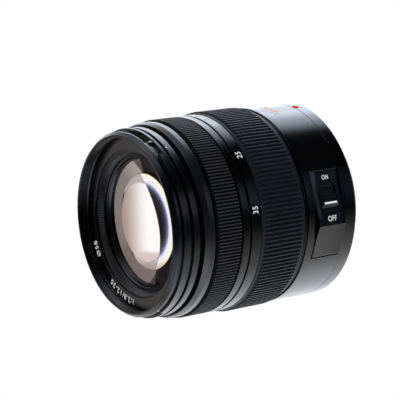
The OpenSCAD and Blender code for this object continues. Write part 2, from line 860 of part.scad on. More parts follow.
module cam_barrel() color("goldenrod") in_place() difference() {
    key_room = 0.1;
    ring(cam_in, cam_r, cam_z, cam_end);
    for (row = [0 : pin_rows - 1]) {
        phi = pin_phi + 360 / pin_rows * row;
        helix_cut(cam_in - 1, cam_r + 1, phi, pin_z, zoom_travel, pin_slot);
        helix_cut(cam_in - 1, cam_r + 1, phi, carriage_pin_z, carriage_travel, pin_slot);
    }
    sector(cam_r - key_sink - seat_gap, cam_r + 1, key_z - seat_gap, key_z + key_l + seat_gap, key_phi,
           key_half + key_room);
}

module focus_ring() color("dimgray") in_place() {
    land = 0.3;
    root = focus_r - focus_rib_h;
    code_r = ring_in + code_t + seat_gap;
    difference() {
        union() {
            ring(ring_in, root, focus_z, focus_z + land);
            ring(ring_in, root, focus_end - land, focus_end);
            linear_extrude_between(focus_z + land, focus_end - land) difference() {
                polygon(rib_outline(focus_ribs, root, focus_r));
                circle(r = ring_in);
            }
        }
        ring(ring_in - 1, code_r, sensor_z - seat_gap, sensor_z + sensor_l + seat_gap);
    }
}

module focus_code() color("gray") in_place()
    ring(ring_in, ring_in + code_t, sensor_z, sensor_z + sensor_l);

// Sliding front

module front_tube() color("black") in_place() difference() {
    ring(tube_in, tube_r, tube_z, tube_end);
    for (row = [0 : pin_rows - 1])
        radial_pin(pin_r + seat_gap, tube_in - 1, tube_r + 1, pin_z, pin_phi + 360 / pin_rows * row);
}

module follower_pins() color("silver") in_place() {
    foot = 0.2;
    sunk = 0.1;
    for (row = [0 : pin_rows - 1])
        radial_pin(pin_r, guide_in + foot, tube_r - sunk, pin_z, pin_phi + 360 / pin_rows * row);
}

module filter_ring() color("black") in_place() {
    groove_depth = 1.1;
    groove_from = 2.85;
    groove_w = 1.05;
    groove = front_r - groove_depth;
    groove_z = front_z + groove_from;
    groove_end = groove_z + groove_w;
    split_from = 2.5;
    split_half = 0.1;
    split_z = front_end - split_from;
    hood_from = 1.7;
    hood_w = 2.6;
    hood_end = front_end - hood_from;
    hood_z = hood_end - hood_w;
    hood_half = 33.4;
    stop_phi = 20.5;
    stop_half = 1.1;
    stop_low = 0.3;
    mouth = 0.4;
    rim_cut = 1.2;
    foot = 0.25;
    difference() {
        rotate_extrude() polygon([
            [tube_r + seat_gap, front_z], [front_r - foot, front_z], [front_r, front_z + foot],
            [front_r, groove_z], [groove, groove_z], [groove, groove_end], [front_r, groove_end],
            [front_r, split_z - split_half], [front_r - foot, split_z], [front_r, split_z + split_half],
            [front_r, front_end - rim_cut], [front_r - rim_cut, front_end], [filter_r + mouth, front_end],
            [filter_r, front_end - mouth], [filter_r, tube_end + name_t + seat_gap],
            [filter_r + name_step, tube_end + name_t + seat_gap], [filter_r + name_step, tube_end + seat_gap],
            [tube_r + seat_gap, tube_end + seat_gap]
        ]);
        for (side = [0, 180]) difference() {
            sector(groove, front_r + 1, hood_z, hood_end, side, hood_half);
            sector(groove - 1, front_r - stop_low, hood_z - 1, hood_end + 1, side + stop_phi, stop_half);
        }
    }
}

module name_ring() color("black") in_place()
    ring(name_in, filter_r + name_step - seat_gap, tube_end, tube_end + name_t);

module front_baffle() color("black") in_place() rotate_extrude() polygon([
    [baffle_throat, tube_end - baffle_l], [baffle_r - seat_gap, tube_end - baffle_l],
    [baffle_r - seat_gap, tube_end - seat_gap], [name_in, tube_end - seat_gap],
    [baffle_throat, tube_end - baffle_l + baffle_lip]
]);

module retaining_ring() color("black") in_place() difference() {
    z0 = glass_z + glass_t + seat_gap;
    rim = 0.6;
    lip_t = 0.8;
    notch_w = 1.2;
    notch_depth = 0.7;
    rotate_extrude() polygon([
        [glass_r - glass_lip, z0 + lip_rise], [glass_r, z0], [retain_r - seat_gap, z0],
        [retain_r - seat_gap, z0 + retain_l],
        [retain_r - rim, z0 + retain_l], [glass_r - glass_lip, z0 + lip_t]
    ]);
    for (phi = [90, 270])
        radial_box(notch_w, glass_r - glass_lip - 1, retain_r + 1, z0 + retain_l - notch_depth,
                   z0 + retain_l + 1, phi);
}

module front_element() color("lightblue", 0.4) in_place() {
    hollow = -1.0;
    glass(glass_r, glass_z, glass_z + glass_t, glass_bulge, hollow);
}

module front_second() color("lightblue", 0.4) in_place() {
    bulge = 0.7;
    hollow = -1.4;
    glass(second_r, second_back, second_back + second_t, bulge, hollow);
}

module front_cell() color("black") in_place() {
    lip = 0.5;
    lip_w = 0.7;
    floor_w = 1.4;
    rotate_extrude() polygon([
        [second_r - floor_w, cell_z - neck_l], [neck_r, cell_z - neck_l], [neck_r, cell_z],
        [tube_in - seat_gap, cell_z], [tube_in - seat_gap, tube_end - seat_gap],
        [baffle_r, tube_end - seat_gap], [baffle_r, tube_end - baffle_l - seat_gap],
        [retain_r, tube_end - baffle_l - seat_gap], [retain_r, glass_z + glass_t],
        [glass_r + seat_gap, glass_z + glass_t], [glass_r + seat_gap, glass_z - seat_gap],
        [second_r - lip_w, glass_z - seat_gap], [second_r - lip_w, glass_z - lip],
        [second_r + seat_gap, glass_z - lip], [second_r + seat_gap, second_back - seat_gap],
        [second_r - floor_w, second_back - seat_gap]
    ]);
}

// Carriage, stabiliser and iris

module carriage_frame() color("dimgray") in_place() difference() {
    lip_w = 0.8;
    rotate_extrude() polygon([
        [carriage_in, carriage_z], [carriage_r, carriage_z], [carriage_r, carriage_end],
        [carriage_lens_r + seat_gap, carriage_end], [carriage_lens_r + seat_gap, lens_flange_z + lens_lip],
        [carriage_lens_r - lip_w, lens_flange_z + lens_lip], [carriage_lens_r - lip_w, lens_flange_z],
        [carriage_in, lens_flange_z]
    ]);
    for (row = [0 : pin_rows - 1])
        radial_pin(pin_r + seat_gap, carriage_in - 1, carriage_r + 1, carriage_pin_z,
                   pin_phi + 360 / pin_rows * row);
}

module carriage_pins() color("silver") in_place() {
    foot = 0.1;
    sunk = 0.3;
    for (row = [0 : pin_rows - 1])
        radial_pin(pin_r, carriage_in + foot, cam_r - sunk, carriage_pin_z, pin_phi + 360 / pin_rows * row);
}

module carriage_lens() color("lightblue", 0.4) in_place() {
    recess = 0.2;
    front_bulge = 1.1;
    back_bulge = 0.3;
    lift = 2 * seat_gap;
    glass(carriage_lens_r, lens_flange_z + lens_lip + lift, carriage_end - recess, front_bulge, back_bulge);
}

module ois_base() color("black") in_place() {
    front = carriage_z + ois_base_t;
    ring(ois_lens_r + ois_ring, carriage_in - seat_gap, carriage_z, front);
    for (side = [-1, 1]) translate([-rail_l / 2, side * rail_at - rail_w / 2, carriage_z])
        cube([rail_l, rail_w, ois_base_t + ois_rail]);
}

module ois_slider() color("dimgray") in_place() {
    front = ois_slider_z + ois_slider_t;
    rim_gap = 2.0;
    difference() {
        ring(ois_lens_r + ois_ring, carriage_in - rim_gap, ois_slider_z, front);
        for (side = [-1, 1]) translate([-groove_l / 2, side * rail_at - groove_w / 2, ois_slider_z - 1])
            cube([groove_l, groove_w, 1 + ois_rail]);
    }
    for (side = [-1, 1]) translate([side * rail_at - rail_w / 2, -rail_l / 2, ois_slider_z])
        cube([rail_w, rail_l, ois_slider_t + ois_rail]);
}

module ois_frame() color("black") in_place() difference() {
    lip_w = 0.8;
    rim_gap = 3.2;
    rim_t = 1.6;
    rotate_extrude() polygon([
        [ois_lens_r - lip_w, ois_frame_z], [carriage_in - rim_gap, ois_frame_z],
        [carriage_in - rim_gap, ois_frame_z + rim_t], [ois_lens_r + ois_ring, ois_frame_z + ois_frame_t],
        [ois_lens_r + seat_gap, ois_frame_z + ois_frame_t], [ois_lens_r + seat_gap, ois_frame_z + ois_lip],
        [ois_lens_r - lip_w, ois_frame_z + ois_lip]
    ]);
    for (side = [-1, 1]) translate([side * rail_at - groove_w / 2, -groove_l / 2, ois_frame_z - 1])
        cube([groove_w, groove_l, 1 + ois_rail]);
}

module ois_lens() color("lightblue", 0.4) in_place() {
    recess = 0.4;
    bulge = 0.8;
    hollow = -0.5;
    glass(ois_lens_r, ois_frame_z + ois_lip + seat_gap, ois_frame_z + ois_frame_t - recess, bulge, hollow);
}

module iris_base() color("black") in_place() {
    ring(iris_r, carriage_in - seat_gap, iris_z, iris_z + iris_plate_t);
    for (i = [0 : blade_count - 1])
        at_phi(blade_phi(i)) translate([0, pivot_at, iris_z])
            cylinder(r = pivot_r, h = drive_z - iris_z - run_gap);
}

module iris_cover() color("black") in_place()
    ring(iris_r, carriage_in - seat_gap, cover_z, cover_z + iris_plate_t);

module iris_actuator() color("gray") in_place() {
    width = 4.1;
    z0 = cover_z + iris_plate_t;
    sector(carriage_in - width, carriage_in - seat_gap, z0, z0 + actuator_t, 180, actuator_half);
}

// Where a blade's driving pin stands in the drive ring's own frame, at a share t of the stroke
function turned(v, a) = [v[0] * cos(a) - v[1] * sin(a), v[0] * sin(a) + v[1] * cos(a)];
function pin_path(t) = turned([0, pivot_at] + turned([-lever, 0], blade_turn * t), -drive_turn * t);
function path_side(t, side) =
    let (along = pin_path(t + 0.01) - pin_path(t - 0.01), n = [along[1], -along[0]] / norm(along))
        pin_path(t) + side * (lever_pin_r + run_gap) * n;

module iris_drive() color("silver") in_place() {
    steps = 8;
    over = 0.12;
    ring_step = 2.0;
    stations = [for (k = [0 : steps]) -over + (1 + 2 * over) * k / steps];
    left = [for (t = stations) path_side(t, 1)];
    right = [for (k = [steps : -1 : 0]) path_side(stations[k], -1)];
    difference() {
        ring(iris_r + ring_step, carriage_in - run_gap, drive_z, drive_z + drive_t);
        for (i = [0 : blade_count - 1]) at_phi(blade_phi(i))
            linear_extrude_between(drive_z - 1, drive_z + drive_t + 1) polygon(concat(left, right));
    }
}

// A crescent blade on its pivot, with an ear for the driving pin
module blade(i) color("dimgray") in_place() at_phi(blade_phi(i)) {
    z0 = blade_z + i * blade_pitch;
    edge = 0.1;
    weld = 0.5;
    past = 2;
    pin_short = 0.1;
    difference() {
        union() {
            sector(iris_r + edge, blade_out, z0, z0 + blade_t, past - blade_span / 2, blade_span / 2);
            sector(blade_out - weld, pivot_at + ear_over, z0, z0 + blade_t, ear_phi, ear_half);
        }
        translate([0, pivot_at, z0 - blade_t]) cylinder(r = pivot_r + run_gap, h = 3 * blade_t);
    }
    translate([-lever, pivot_at, z0]) cylinder(r = lever_pin_r, h = drive_z + drive_t - pin_short - z0);
}

module blade_1() blade(0);
module blade_2() blade(1);
module blade_3() blade(2);
module blade_4() blade(3);
module blade_5() blade(4);
module blade_6() blade(5);
module blade_7() blade(6);

mount_ring();
mount_screws();
mount_seal();
contact_block();
contact_pins();
rear_baffle();
rear_barrel();
index_dot();
switch_panel();
switch_board();
switch_knob();
main_board();
flex_cable();
guide_tube();
fixed_sleeve();
front_collar();
focus_sensor();
second_cell();
second_lens();
rear_holder();
rear_lens();
focus_rods();
rod_support();
focus_magnet();
focus_frame();
focus_lens();
focus_coil();
zoom_ring();
zoom_grip();
zoom_key();
cam_barrel();
focus_ring();
focus_code();
front_tube();
follower_pins();
filter_ring();
name_ring();
front_baffle();
retaining_ring();
front_element();
front_second();
front_cell();
carriage_frame();
carriage_pins();
carriage_lens();
ois_base();
ois_slider();
ois_frame();
ois_lens();
iris_base();
iris_cover();
iris_actuator();
iris_drive();
blade_1();
blade_2();
blade_3();
blade_4();
blade_5();
blade_6();
blade_7();
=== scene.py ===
"""Looks for a camera zoom lens: fine meshes, materials, marks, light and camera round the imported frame."""
import json
import math

import bmesh
import bpy
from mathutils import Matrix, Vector


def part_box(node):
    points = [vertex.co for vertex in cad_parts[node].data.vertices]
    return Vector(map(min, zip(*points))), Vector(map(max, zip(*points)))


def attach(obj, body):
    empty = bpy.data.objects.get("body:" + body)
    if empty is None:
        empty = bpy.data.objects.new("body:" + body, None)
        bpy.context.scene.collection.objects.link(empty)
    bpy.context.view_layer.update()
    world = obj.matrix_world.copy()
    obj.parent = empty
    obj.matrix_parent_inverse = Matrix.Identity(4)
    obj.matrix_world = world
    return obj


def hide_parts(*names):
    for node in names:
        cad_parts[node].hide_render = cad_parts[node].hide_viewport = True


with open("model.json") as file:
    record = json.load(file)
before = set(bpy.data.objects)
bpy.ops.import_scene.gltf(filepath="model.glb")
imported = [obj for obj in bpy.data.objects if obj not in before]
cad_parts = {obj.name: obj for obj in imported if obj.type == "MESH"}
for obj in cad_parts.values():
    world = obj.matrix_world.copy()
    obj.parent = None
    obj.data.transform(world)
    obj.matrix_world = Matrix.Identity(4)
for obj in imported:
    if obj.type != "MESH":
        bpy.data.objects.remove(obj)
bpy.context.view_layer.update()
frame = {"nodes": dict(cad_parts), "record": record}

MM = 0.001
scene = bpy.context.scene
scene.view_settings.view_transform = "Standard"
nodes = frame["nodes"]
record = frame["record"]
mounts = {m["name"]: m for m in record["mounts"]}


# Places and sizes in millimetres, z forward of the mount's seat; phi in degrees from the top towards +X

def spot(r, z, phi):
    """A place round the axis, in metres."""
    turn = math.radians(phi)
    return Vector((r * math.sin(turn), -z, r * math.cos(turn))) * MM


def span(node):
    """Rear end, front end and greatest reach to the left of a CAD node, in millimetres."""
    low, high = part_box(node)
    return -high.y / MM, -low.y / MM, -low.x / MM


# Materials

def new_material(name):
    """A material with its node tree and its shader."""
    material = bpy.data.materials.new(name)
    material.use_nodes = True
    tree = material.node_tree
    return material, tree, tree.nodes["Principled BSDF"]


def noise(tree, scale, detail=3.0, stretch=(1, 1, 1)):
    """Noise over the object's own place, in features per metre."""
    mapping = tree.nodes.new("ShaderNodeMapping")
    mapping.inputs["Scale"].default_value = stretch
    texture = tree.nodes.new("ShaderNodeTexNoise")
    texture.inputs["Scale"].default_value = scale
    texture.inputs["Detail"].default_value = detail
    tree.links.new(object_place(tree), mapping.inputs["Vector"])
    tree.links.new(mapping.outputs["Vector"], texture.inputs["Vector"])
    return texture.outputs["Fac"]


NOISE_LOW = 0.3
NOISE_HIGH = 0.7


def spread(tree, value, low, high):
    """Maps the middle of a noise's range onto a range of its own."""
    return ramped(tree, value, NOISE_LOW, NOISE_HIGH, to_low=low, to_high=high)


def tones(tree, value, dark, light):
    """A colour between two tones, picked by a noise."""
    ramp = tree.nodes.new("ShaderNodeValToRGB")
    for mark, place, tone in zip(ramp.color_ramp.elements, (NOISE_LOW, NOISE_HIGH), (dark, light)):
        mark.position = place
        mark.color = (*tone, 1)
    tree.links.new(value, ramp.inputs["Fac"])
    return ramp.outputs["Color"]


def bump(tree, shader, value, depth):
    """Fine relief of a depth in millimetres."""
    node = tree.nodes.new("ShaderNodeBump")
    node.inputs["Strength"].default_value = 1.0
    node.inputs["Distance"].default_value = depth * MM
    tree.links.new(value, node.inputs["Height"])
    tree.links.new(node.outputs["Normal"], shader.inputs["Normal"])


def joined(tree, operation, first, second):
    """Arithmetic on two values, each a socket or a plain number."""
    node = tree.nodes.new("ShaderNodeMath")
    node.operation = operation
    for socket, value in zip(node.inputs, (first, second)):
        if isinstance(value, float):
            socket.default_value = value
        else:
            tree.links.new(value, socket)
    return node.outputs["Value"]


def blended(tree, factor, first, second):
    """A colour between two, each a socket or a plain colour."""
    node = tree.nodes.new("ShaderNodeMix")
    node.data_type = "RGBA"
    tree.links.new(factor, node.inputs[0])
    for socket, value in zip((node.inputs[6], node.inputs[7]), (first, second)):
        if isinstance(value, tuple):
            socket.default_value = (*value, 1)
        else:
            tree.links.new(value, socket)
    return node.outputs[2]


def object_place(tree):
    """Where a point lies on its object."""
    return tree.nodes.new("ShaderNodeTexCoord").outputs["Object"]


def from_axis(tree, place):
    """Distance of a place from the lens's axis, in metres."""
    flat = tree.nodes.new("ShaderNodeMapping")
    flat.inputs["Scale"].default_value = (1, 0, 1)
    reach = tree.nodes.new("ShaderNodeVectorMath")
    reach.operation = "LENGTH"
    tree.links.new(place, flat.inputs["Vector"])
    tree.links.new(flat.outputs["Vector"], reach.inputs[0])
    return reach.outputs["Value"]


def ramped(tree, value, low, high, curve="LINEAR", to_low=0.0, to_high=1.0):
    """From one end of a range to the other, by default 0 to 1, as a value goes from low to high."""
    node = tree.nodes.new("ShaderNodeMapRange")
    node.interpolation_type = curve
    ends = {"From Min": low, "From Max": high, "To Min": to_low, "To Max": to_high}
    for key, end in ends.items():
        node.inputs[key].default_value = end
    tree.links.new(value, node.inputs["Value"])
    return node.outputs["Result"]


def textured(name, dark, light, rough, grain, relief, cloud=120, specular=0.5, metallic=0.0):
    """A surface with slow clouds of tone, uneven gloss and a fine grain in relief."""
    material, tree, shader = new_material(name)
    slow = noise(tree, cloud)
    fine = noise(tree, grain, detail=2.0)
    tree.links.new(tones(tree, slow, dark, light), shader.inputs["Base Color"])
    tree.links.new(spread(tree, fine, *rough), shader.inputs["Roughness"])
    bump(tree, shader, fine, relief)
    shader.inputs["Specular IOR Level"].default_value = specular
    shader.inputs["Metallic"].default_value = metallic
    return material


# Painted shade for the bottoms of ribbed grooves
GROOVE_SHADE = (0.003, 0.003, 0.0035)
LATHE_LINES = 900
LATHE_STRETCH = (0.02, 6, 0.02)
LATHE_RELIEF = 0.004


def paint_groove_shade(material, floor_r, top_r):
    """Paints shade into a ribbed ring's coat below its ridges, where the grooves lie in shade; both
    distances from the axis are in millimetres.
    """
    tree = material.node_tree
    base = tree.nodes["Principled BSDF"].inputs["Base Color"]
    coat = base.links[0].from_socket
    share = ramped(tree, from_axis(tree, object_place(tree)), floor_r * MM, top_r * MM)
    tree.links.new(blended(tree, share, GROOVE_SHADE, coat), base)


def turned_metal(name, dark, light, rough):
    """Metal with fine lathe lines round the lens's axis."""
    material, tree, shader = new_material(name)
    lines = noise(tree, LATHE_LINES, detail=2.0, stretch=LATHE_STRETCH)
    tree.links.new(tones(tree, lines, dark, light), shader.inputs["Base Color"])
    tree.links.new(spread(tree, lines, *rough), shader.inputs["Roughness"])
    bump(tree, shader, lines, LATHE_RELIEF)
    shader.inputs["Metallic"].default_value = 1.0
    return material


# Tones are a dark and a light one; then come the range of roughness, the grain per metre and its relief

PAINT_TONES = (0.0007, 0.0009, 0.0015), (0.0012, 0.0015, 0.0023)
DULL_TONES = (0.006, 0.006, 0.006), (0.012, 0.012, 0.012)
looks = {
    "body_black": textured("satin_paint", *PAINT_TONES, (0.16, 0.2), 9000, 0.0008, specular=0.9),
    "tube_black": textured(
        "tube_paint", (0.002, 0.002, 0.0025), (0.0035, 0.0035, 0.0042), (0.3, 0.38), 7000, 0.003),
    "focus_black": textured(
        "focus_coat", (0.027, 0.028, 0.032), (0.038, 0.039, 0.044), (0.42, 0.5), 9000, 0.003, specular=0.35),
    "grip_rubber": textured(
        "grip_rubber", (0.0048, 0.007, 0.0122), (0.007, 0.01, 0.0165), (0.44, 0.54), 6000, 0.006,
        specular=0.4),
    "front_black": textured(
        "front_matt", (0.0022, 0.0023, 0.0029), (0.0032, 0.0034, 0.0042), (0.26, 0.34), 9000, 0.003,
        specular=0.9),
    "knob_grey": textured(
        "knob_plastic", (0.003, 0.0032, 0.004), (0.005, 0.0053, 0.0063), (0.34, 0.44), 8000, 0.004),
    "mount_steel": turned_metal("mount_metal", (0.46, 0.46, 0.47), (0.6, 0.6, 0.61), (0.22, 0.36)),
    "pin_steel": turned_metal("pin_metal", (0.3, 0.3, 0.31), (0.44, 0.44, 0.45), (0.25, 0.4)),
    "seal_rubber": textured("seal_rubber", *DULL_TONES, (0.55, 0.7), 5000, 0.006),
    "contact_gold": textured(
        "contact_gold", (0.78, 0.52, 0.17), (0.9, 0.64, 0.25), (0.16, 0.26), 4000, 0.001, metallic=1.0),
    "index_red": textured(
        "index_red", (0.66, 0.03, 0.008), (0.76, 0.05, 0.012), (0.5, 0.6), 5000, 0.002, specular=0.05),
    "inner_black": textured("inner_black", *DULL_TONES, (0.5, 0.65), 5000, 0.005),
    "inner_metal": turned_metal("inner_metal", (0.16, 0.16, 0.165), (0.26, 0.26, 0.265), (0.32, 0.48)),
    "blade_grey": textured(
        "blade_black", (0.012, 0.012, 0.013), (0.022, 0.022, 0.023), (0.4, 0.55), 6000, 0.003),
    "board_green": textured(
        "board_lacquer", (0.012, 0.06, 0.025), (0.02, 0.1, 0.04), (0.25, 0.4), 3000, 0.004),
    "flex_amber": textured("flex_film", (0.3, 0.12, 0.02), (0.42, 0.18, 0.03), (0.25, 0.35), 3000, 0.002),
    "coil_copper": textured(
        "coil_copper", (0.42, 0.16, 0.06), (0.58, 0.24, 0.1), (0.3, 0.45), 5000, 0.01, metallic=1.0),
    "magnet_grey": textured(
        "magnet_plating", (0.2, 0.2, 0.21), (0.3, 0.3, 0.31), (0.25, 0.4), 4000, 0.003, metallic=1.0),
}
band_paint = textured("band_paint", *PAINT_TONES, (0.18, 0.22), 9000, 0.0008, specular=0.65)
barrel_matt = textured(
    "barrel_matt", (0.0009, 0.0012, 0.0023), (0.0016, 0.002, 0.0035), (0.22, 0.28), 9000, 0.0008,
    specular=0.78)
collar_paint = textured(
    "collar_paint", (0.0032, 0.0037, 0.0054), (0.0046, 0.0052, 0.0074), (0.28, 0.34), 9000, 0.0008,
    specular=0.85)
mark_white = textured("mark_white", (0.82, 0.83, 0.84), (0.9, 0.91, 0.92), (0.45, 0.55), 6000, 0.002)
mark_gold = textured("mark_gold", (0.8, 0.42, 0.07), (0.9, 0.5, 0.1), (0.4, 0.5), 6000, 0.002)
GLASS_IOR = 1.45


def coating(name, rough):
    """A clear face under a gloss: the material, its tree, and its clear, gloss and mixing nodes."""
    material, tree, shader = new_material(name)
    tree.nodes.remove(shader)
    clear = tree.nodes.new("ShaderNodeBsdfTransparent")
    gloss = tree.nodes.new("ShaderNodeBsdfGlossy")
    gloss.inputs["Roughness"].default_value = rough
    mix = tree.nodes.new("ShaderNodeMixShader")
    tree.links.new(clear.outputs["BSDF"], mix.inputs[1])
    tree.links.new(gloss.outputs["BSDF"], mix.inputs[2])
    tree.links.new(mix.outputs["Shader"], tree.nodes["Material Output"].inputs["Surface"])
    return material, tree, clear, gloss, mix


def on_outside(tree, share):
    """A share of gloss on the outside of a glass, and none on its inside."""
    side = tree.nodes.new("ShaderNodeNewGeometry")
    return joined(tree, "MULTIPLY", joined(tree, "SUBTRACT", 1.0, side.outputs["Backfacing"]), share)


def coated_glass(name, tint, reflect):
    """Clear glass with a coloured coating on its surface."""
    material, tree, clear, gloss, mix = coating(name, 0.0)
    clear.inputs["Color"].default_value = (*tint, 1)
    gloss.inputs["Color"].default_value = (*reflect, 1)
    edge = tree.nodes.new("ShaderNodeFresnel")
    edge.inputs["IOR"].default_value = GLASS_IOR
    tree.links.new(joined(tree, "MULTIPLY", edge.outputs["Fac"], on_outside(tree, 1.0)), mix.inputs["Fac"])
    return material


looks["coated_glass"] = coated_glass("inner_glass", (0.93, 0.92, 0.9), (0.8, 0.75, 0.85))

for row in record["subparts"]:
    mesh = nodes[row["node"]].data
    mesh.materials.clear()
    mesh.materials.append(looks[row["material_slot"]])


# Meshes

ROUND = 288
EVEN_TURNS = [360 * i / ROUND for i in range(ROUND)]
ARC_STEPS = 4
SIDE_SHARE = 0.45


def linked(name, data):
    """A new object that shows in the scene."""
    thing = bpy.data.objects.new(name, data)
    scene.collection.objects.link(thing)
    return thing


def soften(piece, width, segments=2, angle=35, harden=False):
    """Rounds the edges sharper than an angle; the width is in millimetres."""
    edges = piece.modifiers.new("edges", "BEVEL")
    edges.width = width * MM
    edges.segments = segments
    edges.limit_method = "ANGLE"
    edges.angle_limit = math.radians(angle)
    edges.harden_normals = harden


def put(name, points, faces, material, body, replaced=(), sharp=30, bevel=0.0):
    """A finished piece from points in metres, shaded smooth between edges sharper than an angle."""
    mesh = bpy.data.meshes.new(name)
    mesh.from_pydata([tuple(p) for p in points], [], faces)
    mesh.validate()
    work = bmesh.new()
    work.from_mesh(mesh)
    bmesh.ops.recalc_face_normals(work, faces=work.faces)
    work.to_mesh(mesh)
    work.free()
    mesh.shade_smooth()
    mesh.set_sharp_from_angle(angle=math.radians(sharp))
    mesh.materials.append(material)
    piece = linked(name, mesh)
    if bevel:
        soften(piece, bevel)
    flatten = piece.modifiers.new("normals", "WEIGHTED_NORMAL")
    flatten.keep_sharp = True
    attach(piece, body)
    if replaced:
        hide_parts(*replaced)
    return piece


def rounded(corners, radius):
    """A closed outline of r, z corners with each corner turned by an arc of about that radius."""
    outline = []
    count = len(corners)
    for i, corner in enumerate(corners):
        here = Vector(corner)
        back = Vector(corners[i - 1]) - here
        ahead = Vector(corners[(i + 1) % count]) - here
        reach = min(radius, SIDE_SHARE * back.length, SIDE_SHARE * ahead.length)
        first = here + back.normalized() * reach
        last = here + ahead.normalized() * reach
        for k in range(ARC_STEPS + 1):
            t = k / ARC_STEPS
            bend = (1 - t) ** 2 * first + 2 * t * (1 - t) * here + t * t * last
            outline.append((bend.x, bend.y))
    return outline


def ring_faces(count, size, left_out=()):
    """Faces between closed sections round a ring, less those left out by section and side."""
    faces = []
    for i in range(count):
        j = (i + 1) % count
        for k in range(size):
            m = (k + 1) % size
            if (i, k) not in left_out:
                faces.append((i * size + k, j * size + k, j * size + m, i * size + m))
    return faces


def sweep(name, stations, material, body, replaced=(), sharp=30, bevel=0.0):
    """Joins outlines of equal length, each at its own angle, into one closed ring."""
    points = [spot(r, z, phi) for phi, outline in stations for r, z in outline]
    faces = ring_faces(len(stations), len(stations[0][1]))
    put(name, points, faces, material, body, replaced, sharp, bevel)


def lathe(name, outline, material, body, replaced=(), sharp=30):
    """A closed outline of r, z points turned round the axis."""
    stations = [(phi, outline) for phi in EVEN_TURNS]
    sweep(name, stations, material, body, replaced, sharp)


# Front barrel with the hood's two channels and the filter thread

GAP = 0.04
EDGE = 0.3
EDGE_MID = 0.09
front_z, front_end, front_r = span("filter_ring")
thread_r = mounts["filter_thread"]["dims"]["r_mm"]
name_z, name_end, name_r = span("name_ring")
tube_z, tube_end, tube_r = span("front_tube")
GROOVE_DEPTH = 1.1
GROOVE_FROM = 2.45
GROOVE_W = 1.05
GROOVE_EDGE = 0.12
CHANNEL_FROM = 4.55
CHANNEL_END = 6.45
SPLIT_FROM = 6.1
RIM_DROP = 0.8
RIM_EDGE = 1.3
RIM_LIP = 0.72
HOOD_DEPTH = 1.55
HOOD_HALF = 33.4
HOOD_STOP = 20.7
HOOD_STOP_HALF = 0.9
WALL_TURN = 0.05
THREAD_PITCH = 0.75
THREAD_DEPTH = 0.32


def thread_outline():
    """The filter thread's teeth, from the mouth inwards."""
    mouth = front_end - 0.5
    teeth = int((mouth - name_end - 0.2) / THREAD_PITCH)
    outline = []
    for i in range(teeth):
        z = mouth - i * THREAD_PITCH
        outline += [(thread_r, z), (thread_r, z - 0.14), (thread_r + THREAD_DEPTH, z - 0.36),
                    (thread_r + THREAD_DEPTH, z - 0.45)]
    return outline


def barrel_outline(stretch):
    """The front ring's section where the hood's channel is closed, locked, stopped or open to the front."""
    r = front_r
    groove = r - GROOVE_DEPTH
    groove_z = front_z + GROOVE_FROM
    groove_end = groove_z + GROOVE_W
    channel_z = front_z + CHANNEL_FROM
    channel_end = front_z + CHANNEL_END
    split = front_z + SPLIT_FROM
    notch = split - 0.1
    rim_r = r - RIM_DROP
    edge_z = front_end - RIM_EDGE
    lip_r = thread_r + RIM_LIP
    deep = r - HOOD_DEPTH
    floors = {
        "closed": (r, (r, notch), (r - 0.08, split), (rim_r, split + 0.03), rim_r),
        "stopped": (r - 0.25, (r - 0.25, notch), (r - 0.33, split), (rim_r, split + 0.03), rim_r),
        "locked": (groove, (groove, notch), (groove, channel_end - 0.03), (rim_r, channel_end), rim_r),
        "open": (deep, (deep + 0.15, notch), (deep + 0.2, split), (deep + 0.3, channel_end), rim_r - 0.3),
    }
    low, foot, step, ledge, brow = floors[stretch]
    outside = [
        # Rear edge
        (tube_r + GAP, front_z), (r - EDGE, front_z), (r - EDGE_MID, front_z + EDGE_MID),
        (r, front_z + EDGE),
        # Plain groove
        (r, groove_z - GROOVE_EDGE), (r - GROOVE_EDGE, groove_z), (groove, groove_z), (groove, groove_end),
        (r - GROOVE_EDGE, groove_end), (r, groove_end + GROOVE_EDGE),
        # Channel for the hood, then the rim
        (r, channel_z - 0.1), (r - 0.05, channel_z), (low - 0.02, channel_z + 0.03), foot, step, ledge,
        (brow, edge_z - 0.6), (rim_r, edge_z - 0.48), (rim_r, edge_z - 0.06),
        # Sloping front and lip
        (rim_r - 0.05, edge_z + 0.04), (rim_r - 0.15, edge_z + 0.15), (lip_r + 0.1, front_end - 0.15),
        (lip_r, front_end - 0.04), (lip_r - 0.12, front_end), (thread_r + 0.1, front_end),
        (thread_r + 0.02, front_end - 0.12),
    ]
    inside = [
        (thread_r, name_end + GAP), (name_r + GAP, name_end + GAP), (name_r + GAP, tube_end + GAP),
        (tube_r + GAP, tube_end + GAP),
    ]
    return outside + thread_outline() + inside


def hood_stretch(phi):
    """Which stretch of the hood's channel lies at an angle."""
    for side in (0, 180):
        off = (phi - side + 180) % 360 - 180
        if abs(off) < HOOD_HALF:
            if abs(off - HOOD_STOP) < HOOD_STOP_HALF:
                return "stopped"
            return "open" if off < HOOD_STOP else "locked"
    return "closed"


def hood_angles():
    """Even steps, with close pairs where the channel changes."""
    steps = {round(phi, 4) for phi in EVEN_TURNS}
    for side in (0, 180):
        for wall in (-HOOD_HALF, HOOD_STOP - HOOD_STOP_HALF, HOOD_STOP + HOOD_STOP_HALF, HOOD_HALF):
            for nudge in (-WALL_TURN, WALL_TURN):
                steps.add(round((side + wall + nudge) % 360, 4))
    return sorted(steps)


sweep("front_barrel", [(phi, barrel_outline(hood_stretch(phi))) for phi in hood_angles()], barrel_matt,
      "front", ["filter_ring"], bevel=0.05)

# Ring with the numbers, ribbed baffle, retaining ring and the cell behind them

baffle_z, baffle_end, baffle_r = span("front_baffle")
retain_z, retain_end, retain_r = span("retaining_ring")
glass_z, glass_end, glass_r = span("front_element")
name_in = baffle_r - 0.16
throat = baffle_r - 2.26

lathe("number_ring", rounded([
    (name_in, name_z), (name_r, name_z), (name_r, name_end), (name_in, name_end)], 0.12),
    looks["front_black"], "front", ["name_ring"])

